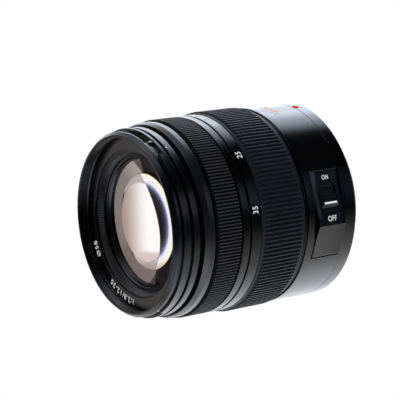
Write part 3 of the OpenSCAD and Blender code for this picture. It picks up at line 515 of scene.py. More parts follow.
BAFFLE_RIBS = 240
BAFFLE_RIB_H = 0.13
BAFFLE_RIB = ((0.0, 0.0), (0.3, 1.0), (0.55, 1.0), (0.85, 0.0))


def ribbed(count, rib, section):
    """Sections round the axis; a rib is parts of its pitch, each with a share of the rib's height."""
    return [(360 * (i + part) / count, section(lift)) for i in range(count) for part, lift in rib]


def baffle_section(lift):
    """A cut through the baffle, whose ribs lie on its sloping face."""
    h = BAFFLE_RIB_H * lift
    return [
        (throat, baffle_z), (baffle_r, baffle_z), (baffle_r, baffle_end), (name_in + 0.02, baffle_end),
        (name_in - 0.25, baffle_end - 0.1), (name_in - 0.4 - h, baffle_end - 0.36 + h),
        (throat + 0.35 - h, baffle_z + 0.62 + h), (throat + 0.2, baffle_z + 0.48), (throat, baffle_z + 0.4)]


sweep("ribbed_baffle", ribbed(BAFFLE_RIBS, BAFFLE_RIB, baffle_section), looks["front_black"], "front",
      ["front_baffle"], sharp=40)

clear_r = glass_r - 1.4
lathe("lens_retainer", rounded([
    (clear_r, retain_z + 0.45), (glass_r, retain_z), (retain_r, retain_z), (retain_r, retain_end),
    (retain_r - 0.6, retain_end), (retain_r - 0.85, retain_end - 0.35), (retain_r - 1.1, retain_end - 0.4),
    (clear_r + 0.45, retain_z + 1.05), (clear_r, retain_z + 0.85)], 0.06), looks["front_black"], "front",
    ["retaining_ring"])

# Sliding tube, collar, index band, focus ring

TUBE_RUN = 0.25
tube_in = tube_r - 1.6
lathe("sliding_tube", rounded([
    (tube_in, tube_z), (tube_r, tube_z), (tube_r, tube_end), (tube_in, tube_end)], 0.15),
    looks["tube_black"], "front", ["front_tube"])

collar_z, collar_end, collar_r = span("front_collar")
COLLAR_SLOPE = 1.75
COLLAR_DROP = 0.6
COLLAR_STEP = 0.85
COLLAR_LAND = 0.6
collar_in = tube_r + 1.8
collar_floor = collar_z + 1.6
run_r = tube_r + TUBE_RUN
lathe("front_collar_skin", rounded([
    (collar_in, collar_z), (collar_r - COLLAR_STEP, collar_z),
    (collar_r - COLLAR_STEP, collar_z + COLLAR_LAND), (collar_r, collar_z + COLLAR_LAND),
    (collar_r, collar_end - COLLAR_SLOPE), (collar_r - COLLAR_DROP, collar_end), (run_r, collar_end),
    (run_r, collar_floor), (collar_in, collar_floor)], 0.16), collar_paint, "body",
    ["front_collar"])

sleeve_z, sleeve_end, band_r = span("fixed_sleeve")
focus_z, focus_end, focus_r = span("focus_ring")
zoom_z, zoom_end, zoom_r = span("zoom_ring")
grip_z, grip_end, grip_r = span("zoom_grip")
sleeve_r = tube_r + 1.75
band_z = zoom_end + 0.6
band_end = focus_z - 0.3
seam_z = span("rear_barrel")[1] + 0.02
seam_end = zoom_z - 0.3
foot_r = sleeve_r + 0.9
foot_end = sleeve_z + 1.6
lathe("index_band", rounded([
    (run_r, sleeve_z), (foot_r, sleeve_z), (foot_r, foot_end), (sleeve_r, foot_end), (sleeve_r, seam_z),
    (band_r, seam_z), (band_r, seam_end), (sleeve_r, seam_end), (sleeve_r, band_z), (band_r, band_z),
    (band_r, band_end), (sleeve_r, band_end), (sleeve_r, sleeve_end), (run_r, sleeve_end)], 0.14),
    band_paint, "body", ["fixed_sleeve"])

FOCUS_RIBS = 184
FOCUS_RIB_H = 0.8
FOCUS_RIB = ((0.0, 0.0), (0.08, 0.05), (0.22, 0.86), (0.29, 1.0), (0.51, 1.0), (0.58, 0.86), (0.72, 0.05),
             (0.8, 0.0))
# Depths, as shares of the rib height below its top, where the painted groove shade is full and where it ends
SHADE_FROM = 0.6
SHADE_TO = 0.12
ring_in = sleeve_r + TUBE_RUN


def focus_section(lift):
    """A cut through the focus ring, whose ribs have plain ends."""
    root = focus_r - FOCUS_RIB_H
    top = root + FOCUS_RIB_H * lift
    return [
        (ring_in, focus_z), (root - 0.1, focus_z), (root, focus_z + 0.1), (root, focus_z + 0.25),
        (top - 0.1 * lift, focus_z + 0.3), (top, focus_z + 0.5), (top, focus_end - 0.5),
        (top - 0.1 * lift, focus_end - 0.3), (root, focus_end - 0.25), (root, focus_end - 0.1),
        (root - 0.1, focus_end), (ring_in, focus_end)]


# Painted shade: the focus ring's colour darkens in the grooves between its ribs
paint_groove_shade(looks["focus_black"], focus_r - SHADE_FROM * FOCUS_RIB_H, focus_r - SHADE_TO * FOCUS_RIB_H)
sweep("focus_grip", ribbed(FOCUS_RIBS, FOCUS_RIB, focus_section), looks["focus_black"], "focus_ring",
      ["focus_ring"], sharp=42)

# Zoom ring: number band and ribbed rubber

number_z = grip_end + GAP
seat_r = zoom_r - 0.55
lathe("number_band", rounded([
    (ring_in, zoom_z), (seat_r, zoom_z), (seat_r, number_z), (zoom_r, number_z), (zoom_r, zoom_end),
    (ring_in, zoom_end)], 0.14), band_paint, "zoom", ["zoom_ring"])

ZOOM_RIBS = 145
GRIP_LAND = 1.25
GRIP_RIB_H = 0.62
GRIP_RIB = ((0.0, 0.0), (0.07, 0.1), (0.15, 0.62), (0.23, 0.94), (0.33, 1.0), (0.47, 1.0), (0.57, 0.94),
            (0.65, 0.62), (0.73, 0.1), (0.8, 0.0))


def grip_section(lift):
    """A cut through the rubber grip, whose ribs fade out at both lands."""
    root = grip_r - GRIP_RIB_H
    inside = seat_r + GAP
    z0 = grip_z + GRIP_LAND
    z1 = grip_end - GRIP_LAND
    h = GRIP_RIB_H * lift
    return [
        (inside, grip_z), (root - 0.25, grip_z), (root - 0.07, grip_z + 0.07), (root, grip_z + 0.25),
        (root, z0 - 0.3), (root + 0.12 * h, z0 - 0.12), (root + 0.6 * h, z0 + 0.08),
        (root + 0.92 * h, z0 + 0.34), (root + h, z0 + 0.7), (root + h, z1 - 0.7),
        (root + 0.92 * h, z1 - 0.34), (root + 0.6 * h, z1 - 0.08), (root + 0.12 * h, z1 + 0.12),
        (root, z1 + 0.3), (root, grip_end - 0.25), (root - 0.07, grip_end - 0.07), (root - 0.25, grip_end),
        (inside, grip_end)]


sweep("zoom_rubber", ribbed(ZOOM_RIBS, GRIP_RIB, grip_section), looks["grip_rubber"], "zoom",
      ["zoom_grip"], sharp=60)

# Rear barrel with its window for the switch panel

rear_z, rear_end, rear_r = span("rear_barrel")
panel_z, panel_end, _ = span("switch_panel")
PANEL_TOP = 61
PANEL_CREASE = 91.6
PANEL_BOTTOM = 111.1
CREASE_H = 1.6
PANEL_LIP = 0.45
PANEL_FLARE = 0.35
LIP_CUT = 0.3
FRONT_LEAN = 0.6
WINDOW_TOP = PANEL_TOP - 0.07
WINDOW_BOTTOM = PANEL_BOTTOM + 1.1
WINDOW_FRONT = PANEL_FLARE + 0.12
WINDOW_CUT = 0.24
CUT_TURN = 0.42
TAPER_L = 1.5
TAPER_H = 3.0
EDGE_CUT = 0.35
PARTING_Z = 8.15
PARTING_W = 0.13
PARTING_DEPTH = 0.1
WINDOW_DEPTH = 1.4
WALL_CLEAR = 0.4
REAR_WALL = 1.5
REAR_FLOOR = 2.0
REAR_HOLE_R = 21.0


def rear_profile():
    """The rear barrel's outside from the mount forwards: bevel, fine parting line, front edge."""
    z1 = rear_z + TAPER_L
    low = rear_r - TAPER_H
    r = rear_r
    window_end = panel_end + WINDOW_FRONT
    return [
        (low - 1.0, rear_z), (low - 0.2, rear_z), (low + 0.1, rear_z + 0.06),
        (r - EDGE_CUT - 0.2, z1 - 0.08), (r - 0.2, z1 + 0.06), (r - 0.06, z1 + 0.2), (r, z1 + EDGE_CUT),
        (r, PARTING_Z - PARTING_W), (r - PARTING_DEPTH, PARTING_Z), (r, PARTING_Z + PARTING_W),
        (r, panel_z - 0.2), (r, panel_z - 0.02), (r, window_end), (r, window_end + 0.18),
        (r, rear_end - EDGE), (r - EDGE_MID, rear_end - EDGE_MID), (r - EDGE, rear_end)]


def rear_barrel():
    """The turned barrel, with a sunk window for the switch panel."""
    outside = rear_profile()
    floor_z = rear_z + REAR_FLOOR
    inside = [(rear_r - REAR_WALL, rear_end), (rear_r - REAR_WALL, floor_z), (REAR_HOLE_R, floor_z),
              (REAR_HOLE_R, rear_z)]
    outline = outside + inside
    size = len(outline)
    # Rear and front ends of the window in the outline
    rear = next(k for k, (r, z) in enumerate(outside) if z > panel_z - 0.03)
    front = rear + 1
    walls = {WINDOW_TOP - CUT_TURN, WINDOW_TOP, WINDOW_BOTTOM}
    clear = {phi for phi in EVEN_TURNS if min(abs(phi - wall) for wall in walls) > WALL_CLEAR}
    angles = sorted(walls | clear)
    cut = {(WINDOW_TOP, k): WINDOW_CUT for k in (rear, front)}
    points = [spot(r - cut.get((phi, k), 0.0), z, phi) for phi in angles for k, (r, z) in enumerate(outline)]
    opened = [i for i, phi in enumerate(angles) if WINDOW_TOP <= phi <= WINDOW_BOTTOM]
    faces = ring_faces(len(angles), size, {(i, rear) for i in opened[:-1]})
    # Below the opening lie a sunk floor and four walls
    sunk = {}
    for i in opened:
        for k in (rear, front):
            sunk[i, k] = len(points)
            points.append(spot(rear_r - WINDOW_DEPTH, outline[k][1], angles[i]))
    for i, j in zip(opened, opened[1:]):
        for k in (rear, front):
            faces.append((i * size + k, j * size + k, sunk[j, k], sunk[i, k]))
        faces.append((sunk[i, rear], sunk[j, rear], sunk[j, front], sunk[i, front]))
    for i in (opened[0], opened[-1]):
        faces.append((i * size + rear, i * size + front, sunk[i, front], sunk[i, rear]))
    put("rear_shell", points, faces, looks["body_black"], "body", ["rear_barrel"], bevel=0.05)


rear_barrel()

# Switch panel: places on its upper facet are s down the facet, n outwards, z forward


def in_section(r, phi):
    """A place in a cross-section of the lens: x to the side and y up, in millimetres."""
    turn = math.radians(phi)
    return Vector((r * math.sin(turn), r * math.cos(turn)))


facet_a = in_section(rear_r, PANEL_TOP)
facet_c = in_section(rear_r + CREASE_H, PANEL_CREASE)
facet_b = in_section(rear_r + PANEL_LIP, PANEL_BOTTOM)
facet_l = (facet_c - facet_a).length
down = (facet_c - facet_a).normalized()
outward = Vector((-down.y, down.x))
SLOT_S = 5.0
SLOT_L = 9.2
SLOT_W = 6.9
SLOT_DEPTH = 0.8
KNOB_TRAVEL = 2.0
RUN_GAP = 0.25
KNOB_LIFT = 0.08
SLOT_BACK = 0.2
BEND_SHARE = 0.3
BEND_REACH = 0.75
PANEL_SOFT = 0.14
slot_z = (panel_z + panel_end) / 2 - SLOT_W / 2 - SLOT_BACK
slot_end = slot_z + SLOT_W


def in_place(flat, z):
    """A place in a cross-section, put at its distance from the mount."""
    return Vector((flat.x, -z, flat.y)) * MM


def on_facet(s, n, z):
    """A place on the panel's upper facet, in metres."""
    return in_place(facet_a + down * s + outward * n, z)


def switch_panel():
    """An upper facet with its slot, a lower facet with a lip, and walls down to the window's floor."""
    s_lines = [0.0, SLOT_S, SLOT_S + SLOT_L, facet_l]
    low_front = panel_end + PANEL_FLARE
    points = []
    faces = []

    def front_at(s):
        return low_front - FRONT_LEAN * max(0.0, s / facet_l) ** 2

    def add(*corners):
        start = len(points)
        points.extend(corners)
        faces.append(tuple(range(start, start + len(corners))))

    def stripe(s0, s1, backs, fronts):
        """A face of the upper facet; backs and fronts give its two ends at s0 and at s1."""
        add(on_facet(s0, 0, backs[0]), on_facet(s0, 0, fronts[0]), on_facet(s1, 0, fronts[1]),
            on_facet(s1, 0, backs[1]))

    for s0, s1 in zip(s_lines, s_lines[1:]):
        stripe(s0, s1, (panel_z, panel_z), (slot_z, slot_z))
        if s0 != SLOT_S:
            stripe(s0, s1, (slot_z, slot_z), (slot_end, slot_end))
        stripe(s0, s1, (slot_end, slot_end), (front_at(s0), front_at(s1)))
    rim = [(SLOT_S, slot_z), (SLOT_S, slot_end), (SLOT_S + SLOT_L, slot_end), (SLOT_S + SLOT_L, slot_z)]
    for (s0, z0), (s1, z1) in zip(rim, rim[1:] + rim[:1]):
        add(on_facet(s0, 0, z0), on_facet(s1, 0, z1), on_facet(s1, -SLOT_DEPTH, z1),
            on_facet(s0, -SLOT_DEPTH, z0))
    add(*[on_facet(s, -SLOT_DEPTH, z) for s, z in rim])

    crease_front = front_at(facet_l)
    bend_front = crease_front + BEND_REACH * (low_front - crease_front)
    bend = in_place(facet_c.lerp(facet_b, BEND_SHARE), bend_front)
    lip = facet_b - (facet_b - facet_c).normalized() * LIP_CUT
    foot = facet_b - facet_b.normalized() * LIP_CUT
    floor = [in_section(rear_r - WINDOW_DEPTH, phi) for phi in (PANEL_BOTTOM, PANEL_CREASE, PANEL_TOP)]
    lip_back, lip_front = [in_place(lip, z) for z in (panel_z, low_front)]
    foot_back, foot_front = [in_place(foot, z) for z in (panel_z, low_front)]
    floor_back, floor_front = [[in_place(flat, z) for flat in floor] for z in (panel_z, low_front)]
    add(*[on_facet(facet_l, 0, z) for z in (panel_z, slot_z, slot_end, crease_front)], bend, lip_front,
        lip_back)
    add(lip_back, lip_front, foot_front, foot_back)
    add(*[on_facet(s, 0, front_at(s)) for s in s_lines], bend, lip_front, foot_front, *floor_front)
    add(*[on_facet(s, 0, panel_z) for s in s_lines], lip_back, foot_back, *floor_back)
    add(foot_back, foot_front, floor_front[0], floor_back[0])
    add(*[on_facet(0, 0, z) for z in (panel_z, slot_z, slot_end, low_front)], floor_front[2], floor_back[2])
    for k in range(2):
        add(floor_front[k], floor_front[k + 1], floor_back[k + 1], floor_back[k])
    piece = put("switch_plate", points, faces, looks["body_black"], "body", ["switch_panel"],
                sharp=20)
    work = bmesh.new()
    work.from_mesh(piece.data)
    bmesh.ops.remove_doubles(work, verts=work.verts, dist=1e-7)
    bmesh.ops.recalc_face_normals(work, faces=work.faces)
    work.to_mesh(piece.data)
    work.free()
    soften(piece, PANEL_SOFT, segments=3, angle=12, harden=True)


switch_panel()

SKIRT_T = 0.47
RIDGE_H = 1.0
STEP_HALF = 0.3
STEP_H = 0.22
LINE_W = 0.6
LINE_L = 5.1
LINE_FROM = -0.1
skirt_l = SLOT_L - KNOB_TRAVEL - 2 * RUN_GAP
skirt_s = SLOT_S + SLOT_L - RUN_GAP - skirt_l
knob_middle = skirt_s + skirt_l / 2
knob_z0 = slot_z + RUN_GAP
knob_z1 = slot_end - RUN_GAP


def along_panel(name, section, z0, z1, material, replaced=(), sharp=30, bevel=0.0):
    """A bar of s, n corners that runs along the panel and rides on the knob."""
    count = len(section)
    points = [on_facet(s, n, z) for z in (z0, z1) for s, n in section]
    faces = [tuple(range(count)), tuple(range(2 * count - 1, count - 1, -1))]
    faces += [(k, (k + 1) % count, count + (k + 1) % count, count + k) for k in range(count)]
    put(name, points, faces, material, "knob", replaced, sharp, bevel)


def switch_knob():
    """A slider with steps of grip, a ridge across its middle and a white line on the ridge."""
    low = -SLOT_DEPTH + KNOB_LIFT
    top = low + SKIRT_T
    crest = top + RIDGE_H

    def step(middle):
        s = knob_middle + middle
        return [(s + STEP_HALF, top), (s + STEP_HALF / 2, top + STEP_H), (s - STEP_HALF / 2, top + STEP_H),
                (s - STEP_HALF, top)]

    ridge = [(knob_middle + s, n) for s, n in ((1.75, top), (0.5, crest), (-0.55, crest), (-1.1, top))]
    section = [(skirt_s, low), (skirt_s + skirt_l, low), (skirt_s + skirt_l, top)]
    section += step(2.8) + step(2.25) + ridge + step(-1.95) + step(-2.65) + [(skirt_s, top)]
    along_panel("slide_knob", section, knob_z0, knob_z1, looks["knob_grey"], ["switch_knob"], 25, 0.09)
    line_s = knob_middle + LINE_FROM
    line = [(line_s, crest - 0.05), (line_s + LINE_W, crest - 0.05), (line_s + LINE_W, crest + 0.03),
            (line_s, crest + 0.03)]
    line_z = (knob_z0 + knob_z1 - LINE_L) / 2
    along_panel("knob_line", line, line_z, line_z + LINE_L, mark_white, bevel=0.02)


switch_knob()

# Marks: numbers are cut into strips and laid onto their surface

MARK_T = 0.04
MARK_SINK = 0.03
STRIP_W = 0.25
CAPITAL_SHARE = 0.69
RING_WEIGHT = 0.03
ZOOM_NUMBERS = (("12", 0, 2.0), ("14", 8.5, 1.5), ("18", 17, 2.0), ("25", 44, 2.0), ("35", 77, 2.0))
RING_NUMBERS = (("ring_speed", "1:2.8/12-35", 196), ("ring_thread", "Ø58", 240))
SWITCH_WORDS = (("switch_on", "ON", 1.45, 2.3), ("switch_off", "OFF", 1.75, 16.05))
RANGE_Z = 17.6
RANGE_PHI = 8


def lettering(name, words, height, place, material, body, tracking, width=0.8, weight=0.006):
    """Text as thin solid marks; place(x, y, lift) gives where a point of the flat text goes."""
    curve = bpy.data.curves.new(name, "FONT")
    curve.body = words
    curve.size = height / CAPITAL_SHARE
    curve.align_x = "CENTER"
    curve.align_y = "CENTER"
    curve.space_character = tracking
    curve.offset = weight * height
    curve.resolution_u = 4
    flat = linked(name, curve)
    mesh = bpy.data.meshes.new_from_object(flat.evaluated_get(bpy.context.evaluated_depsgraph_get()))
    bpy.data.objects.remove(flat)
    work = bmesh.new()
    work.from_mesh(mesh)
    bmesh.ops.remove_doubles(work, verts=work.verts, dist=1e-5)
    xs = [v.co.x for v in work.verts]
    cut = math.floor(min(xs) / STRIP_W) * STRIP_W
    while cut < max(xs):
        geometry = work.verts[:] + work.edges[:] + work.faces[:]
        bmesh.ops.bisect_plane(work, geom=geometry, plane_co=(cut, 0, 0), plane_no=(1, 0, 0), dist=1e-6)
        cut += STRIP_W
    made = bmesh.ops.extrude_face_region(work, geom=work.faces[:])
    raised = {v for v in made["geom"] if isinstance(v, bmesh.types.BMVert)}
    for vert in work.verts:
        lift = MARK_T if vert in raised else -MARK_SINK
        vert.co = place(vert.co.x * width, vert.co.y, lift)
    bmesh.ops.recalc_face_normals(work, faces=work.faces)
    work.to_mesh(mesh)
    work.free()
    mesh.name = name
    mesh.materials.clear()
    mesh.materials.append(material)
    piece = linked(name, mesh)
    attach(piece, body)


def on_barrel(r, z, phi):
    """Laid round a barrel, with the tops to the front and read from the camera's end."""
    return lambda x, y, lift: spot(r + lift, z + y, phi - math.degrees(x / r))


def on_front(r, z, phi):
    """Laid on a ring that faces forward, with the tops outwards, read clockwise from the front."""
    return lambda x, y, lift: spot(r + y, z + lift, phi + math.degrees(x / r))


def on_panel(s):
    """Laid on the switch panel's upper facet, read from the front to the rear."""
    return lambda x, y, lift: on_facet(s - y, lift, (knob_z0 + knob_z1) / 2 - x)


number_at = (number_z + zoom_end) / 2
for words, phi, height in ZOOM_NUMBERS:
    lettering("zoom_" + words, words, height, on_barrel(zoom_r, number_at, phi), mark_white, "zoom",
              1.05, 0.9)
for name, words, height, s in SWITCH_WORDS:
    lettering(name, words, height, on_panel(s), mark_white, "body", 1.05)
ring_middle = (name_in + thread_r) / 2
for name, words, phi in RING_NUMBERS:
    lettering(name, words, 2.0, on_front(ring_middle, name_end, phi), mark_white, "front",
              1.2, 0.95, RING_WEIGHT)
lettering("barrel_range", "12-35", 2.8, on_barrel(rear_r, RANGE_Z, RANGE_PHI), mark_gold, "body",
          1.1, 0.9)

# Small round marks: the zoom index, the hood index and the red mounting dot

BUTTON_RINGS = 6
BUTTON_STEPS = 40
BUTTON_ROOT = 1.5
DOT_H = 0.28
FLAT_H = 0.03
HOOD_DOT_R = 0.26
HOOD_DOT_PHI = 28.6
HOOD_DOT_FROM = 2.15
ZOOM_DOT_R = 0.34


def button(name, r, base, height, phi, z, material, body, replaced=()):
    """A low round button that stands out of a barrel."""
    up = spot(1, 0, phi).normalized()
    along = Vector((0, -1, 0))
    side = up.cross(along)
    middle = spot(base, z, phi)
    points = [middle + up * height * MM]
    tilts = [math.pi / 2 * k / BUTTON_RINGS for k in range(1, BUTTON_RINGS + 1)]
    levels = [(math.sin(tilt), math.cos(tilt)) for tilt in tilts] + [(1.0, -BUTTON_ROOT)]
    for wide, high in levels:
        for i in range(BUTTON_STEPS):
            a = 2 * math.pi * i / BUTTON_STEPS
            offset = (along * math.cos(a) + side * math.sin(a)) * r * wide
            points.append(middle + (offset + up * height * high) * MM)
    faces = [(0, 1 + i, 1 + (i + 1) % BUTTON_STEPS) for i in range(BUTTON_STEPS)]
    for level in range(len(levels) - 1):
        low = 1 + level * BUTTON_STEPS
        for i in range(BUTTON_STEPS):
            j = (i + 1) % BUTTON_STEPS
            faces.append((low + i, low + BUTTON_STEPS + i, low + BUTTON_STEPS + j, low + j))
    last = 1 + (len(levels) - 1) * BUTTON_STEPS
    faces.append(tuple(last + i for i in range(BUTTON_STEPS)))
    put(name, points, faces, material, body, replaced)


dot_low, dot_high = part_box("index_dot")
dot_middle = (dot_low + dot_high) / 2 / MM
dot_r = (dot_high.y - dot_low.y) / 2 / MM
dot_phi = math.degrees(math.atan2(dot_middle.x, dot_middle.z))
button("mount_index", dot_r, rear_r, DOT_H, dot_phi, -dot_middle.y, looks["index_red"], "body",
       ["index_dot"])
button("hood_index", HOOD_DOT_R, front_r, FLAT_H, HOOD_DOT_PHI, front_z + HOOD_DOT_FROM, mark_white, "front")
button("zoom_index", ZOOM_DOT_R, band_r, FLAT_H, 0, (band_z + band_end) / 2, mark_white, "body")

# Mount ring, taken over from the solids with its edges softened

MOUNT_BEVEL = 0.15
soften(nodes["mount_ring"], MOUNT_BEVEL, angle=30, harden=True)

# Front glass: a coated dome, and behind it, where the cemented glasses' faces lie, a glossy disc and bowl: a
# real gloss of the world whose colour bands and arcs are painted reflections

front_glass = coated_glass("front_glass", (0.99, 0.985, 0.98), (0.34, 0.3, 0.34))
clear_back = coated_glass("glass_back", (0.97, 0.96, 0.95), (0.5, 0.45, 0.6))
ARC_EDGE = 0.12
COAT_SHARE = 0.97
DISC_ROUGH = 0.02
BOWL_ROUGH = 0.03
CAP_RINGS = 24
LENS_STEPS = 180
BACK_FROM = -0.5


def beside_arc(tree, place, arc):
    """1 on the left of an arc across the glass and 0 on its right, the edge of a painted reflection; an
    arc's terms are in millimetres.
    """
    middle, lean, bulge = arc
    parts = tree.nodes.new("ShaderNodeSeparateXYZ")
    tree.links.new(place, parts.inputs["Vector"])
    height = joined(tree, "DIVIDE", parts.outputs["Z"], MM)
    line = joined(tree, "ADD", joined(tree, "MULTIPLY", height, -bulge), -lean)
    line = joined(tree, "ADD", joined(tree, "MULTIPLY", line, height), middle)
    room = joined(tree, "SUBTRACT", line, joined(tree, "DIVIDE", parts.outputs["X"], MM))
    return ramped(tree, room, -ARC_EDGE, ARC_EDGE, "SMOOTHSTEP")


def painted_reflection_coat(name, bands, rough, arc, painted_veil=None):
    """Painted reflection on an inner face: a gloss whose colour changes with the distance from the axis, in
    millimetres.

    Without a painted_veil colour the face is bare on the right of the arc; with one, that painted veil of
    reflection lies on its left.
    """
    material, tree, _, gloss, mix = coating(name, rough)
    place = object_place(tree)
    first = bands[0][0]
    last = bands[-1][0]
    ramp = tree.nodes.new("ShaderNodeValToRGB")
    marks = ramp.color_ramp.elements
    for i, (r, colour) in enumerate(bands):
        if i > 1:
            marks.new(1.0)
        marks[i].position = (r - first) / (last - first)
        marks[i].color = (*colour, 1)
    tree.links.new(ramped(tree, from_axis(tree, place), first * MM, last * MM), ramp.inputs["Fac"])
    beside = beside_arc(tree, place, arc)
    amount = on_outside(tree, COAT_SHARE)
    colour = ramp.outputs["Color"]
    if painted_veil is None:
        amount = joined(tree, "MULTIPLY", amount, beside)
    else:
        colour = blended(tree, beside, colour, painted_veil)
    tree.links.new(amount, mix.inputs["Fac"])
    tree.links.new(colour, gloss.inputs["Color"])
    return material


def cap(r, edge_z, bulge):
    """r, z points of a spherical face from the rim to the axis; a negative bulge is hollow."""
    ball = (r * r + bulge * bulge) / (2 * abs(bulge))
    sign = 1 if bulge > 0 else -1
    reaches = [r * (1 - k / CAP_RINGS) for k in range(CAP_RINGS)]
    return [(x, edge_z + sign * (abs(bulge) - ball + math.sqrt(ball * ball - x * x))) for x in reaches]


def lens(name, r, back_edge, front_edge, back, front, coat, replaced=()):
    """A glass with two spherical faces, closed on the axis; the coat is for its front only."""
    outline = list(reversed(cap(r, back_edge, back))) + cap(r, front_edge, front)
    size = len(outline)
    points = [spot(x, z, 360 * i / LENS_STEPS) for i in range(LENS_STEPS) for x, z in outline]
    back_pole = len(points)
    front_pole = back_pole + 1
    points += [spot(0, back_edge + back, 0), spot(0, front_edge + front, 0)]
    faces = []
    for i in range(LENS_STEPS):
        j = (i + 1) % LENS_STEPS
        for k in range(size - 1):
            faces.append((i * size + k, j * size + k, j * size + k + 1, i * size + k + 1))
        faces.append((back_pole, i * size, j * size))
        faces.append((front_pole, j * size + size - 1, i * size + size - 1))
    piece = put(name, points, faces, coat, "front", replaced, sharp=40)
    piece.data.materials.append(clear_back)
    for face in piece.data.polygons:
        if face.normal.y > BACK_FROM:
            face.material_index = 1


DOME_H = 3.0
DISC_R = 13.3
# RING_IN and RING_OUT bound the painted white ring of reflection on the bowl
RING_IN = 12.6
RING_OUT = 15.9
BOWL_IN = 7.0
DISH_RISE = 1.0
# Arcs that bound the painted reflections on the disc and on the bowl
DISC_ARC = (9.5, 0.24, 0.0275)
BOWL_ARC = (6.9, 0.28, 0.0273)
# Painted reflection: a pale veil over the bowl, left of its arc
PAINTED_VEIL = (0.55, 0.53, 0.535)
disc_z = glass_end - 1.2
ring_z = glass_end - 2.85
dish_z = glass_end - 3.75
dish_r = clear_r - 0.1
edge_end = glass_end - DOME_H
lens("front_lens", glass_r, glass_z, edge_end, 1.0, DOME_H, front_glass, ["front_element"])
# Painted reflection: the disc's near-white gloss, left of its arc, stands for the bright reflection in the
# glass
disc_reflection_paint = painted_reflection_coat("disc_painted_reflection", (
    (0.0, (1.0, 0.98, 0.97)), (8.0, (1.0, 0.97, 0.96)), (12.9, (0.98, 0.93, 0.91)),
    (DISC_R, (0.6, 0.54, 0.53))), DISC_ROUGH, DISC_ARC)
lens("painted_reflection_disc", DISC_R, disc_z - 0.2, disc_z, -0.02, 0.02, disc_reflection_paint)
# Painted reflection: the bowl's bands give a dark middle, a blue fringe, a white ring with a gold edge and a
# brownish rim
bowl_reflection_paint = painted_reflection_coat("bowl_painted_reflection", (
    (BOWL_IN, (0.003, 0.003, 0.004)), (8.6, (0.008, 0.008, 0.011)), (10.4, (0.03, 0.031, 0.043)),
    (11.5, (0.09, 0.09, 0.15)), (RING_IN - 0.3, (0.26, 0.27, 0.5)), (RING_IN + 0.2, (0.7, 0.74, 1.0)),
    (RING_IN + 0.8, (1.0, 1.0, 1.0)), (RING_OUT - 0.4, (1.0, 1.0, 0.98)),
    (RING_OUT - 0.12, (0.95, 0.86, 0.5)), (RING_OUT + 0.1, (0.05, 0.04, 0.03)),
    (RING_OUT + 0.5, (0.1, 0.09, 0.1)), (dish_r, (0.2, 0.17, 0.18))), BOWL_ROUGH, BOWL_ARC, PAINTED_VEIL)
lathe("painted_reflection_bowl", [
    (BOWL_IN, ring_z - 0.04), (RING_OUT, ring_z), (RING_OUT + 0.15, ring_z - 0.15), (RING_OUT + 0.3, dish_z),
    (dish_r, dish_z + DISH_RISE), (dish_r, dish_z + DISH_RISE - 0.2), (RING_OUT, dish_z - 0.2),
    (BOWL_IN, ring_z - 0.3)], bowl_reflection_paint, "front", sharp=20)

# Light, floor and camera

FLOOR_Z = -0.4
FLOOR_R = 0.55
FLOOR_STEPS = 96


def studio_floor():
    """A round sheet of white paper well below the lens."""
    turns = [2 * math.pi * i / FLOOR_STEPS for i in range(FLOOR_STEPS)]
    points = [(FLOOR_R * math.cos(turn), FLOOR_R * math.sin(turn), FLOOR_Z) for turn in turns]
    mesh = bpy.data.meshes.new("floor")
    mesh.from_pydata(points, [], [tuple(range(FLOOR_STEPS))])
    floor = linked("floor", mesh)
    floor.visible_glossy = False
    paper = textured("floor_paper", (0.86, 0.86, 0.86), (0.9, 0.9, 0.9), (0.6, 0.7), 400, 0.01, 3)
    mesh.materials.append(paper)


UP = Vector((0, 0, 1))
BEHIND = Vector((0, 1, 0))
NEAR_SIDE = Vector((-0.92, 0.392, 0.0))
FAR_SIDE = Vector((0.5075, -0.8616, 0.0))
# Areas of the world: direction, where each starts and where it is full; the glows have a strength too
BACKDROP = Vector((-0.82, 0.57, 0.0)), 0.5, 0.92
SIDE_WALL = Vector((0.77, 0.56, 0.3)), 0.92, 0.99
TABLE = -UP, 0.03, 0.92
TABLE_BACK = BEHIND, -0.6, 0.0
CLOTH_NEAR = NEAR_SIDE, -0.06, 0.06
CLOTH_FAR = FAR_SIDE, -0.004, 0.01
CLOTH_BRIGHT = FAR_SIDE, 0.018, 0.042
CLOTH_LOW = -UP, 0.2555, 0.2585
CLOTH_INNER = NEAR_SIDE, 0.3, 0.45
CLOTH_TOP = UP, -0.12, -0.04
LOW_GLOW = Vector((-0.28, 0.56, -0.78)), 0.75, 1.0
GLOWS = (
    (Vector((-0.47, 0.56, 0.68)), 0.92, 1.0, 2.1),
    (Vector((-0.78, 0.56, 0.28)), 0.87, 0.99, 1.2),
    (Vector((-0.4, -0.3, 0.87)), 0.7, 1.0, 0.7),
    (Vector((0.55, -0.35, -0.76)), 0.82, 0.98, 0.9),
)
GLOW_TINT = (0.88, 1.0, 1.22)
LOW_SHINE = (1.68, 1.74, 1.84)
ROOM_TONE = (0.008, 0.008, 0.0104)
WALL_TONE = (0.05, 0.065, 0.1)
CLOTH_BEIGE = (0.5, 0.38, 0.33)
CLOTH_WHITE = (1.1, 1.1, 1.1)
CLOTH_HEM = (0.76, 0.66, 0.63)
CLOTH_EDGE = (0.5, 0.45, 0.42)
CLOTH_SHADE = (0.42, 0.34, 0.325)
FILL = (0.95, 0.95, 0.95)
WHITE = (1.0, 1.0, 1.0)


def towards(tree, direction, low, high):
    """0 to 1 as the looked-up direction swings round to the given one."""
    place = tree.nodes.new("ShaderNodeTexCoord")
    facing = tree.nodes.new("ShaderNodeVectorMath")
    facing.operation = "DOT_PRODUCT"
    facing.inputs[1].default_value = direction
    tree.links.new(place.outputs["Generated"], facing.inputs[0])
    return ramped(tree, facing.outputs["Value"], low, high, "SMOOTHSTEP")


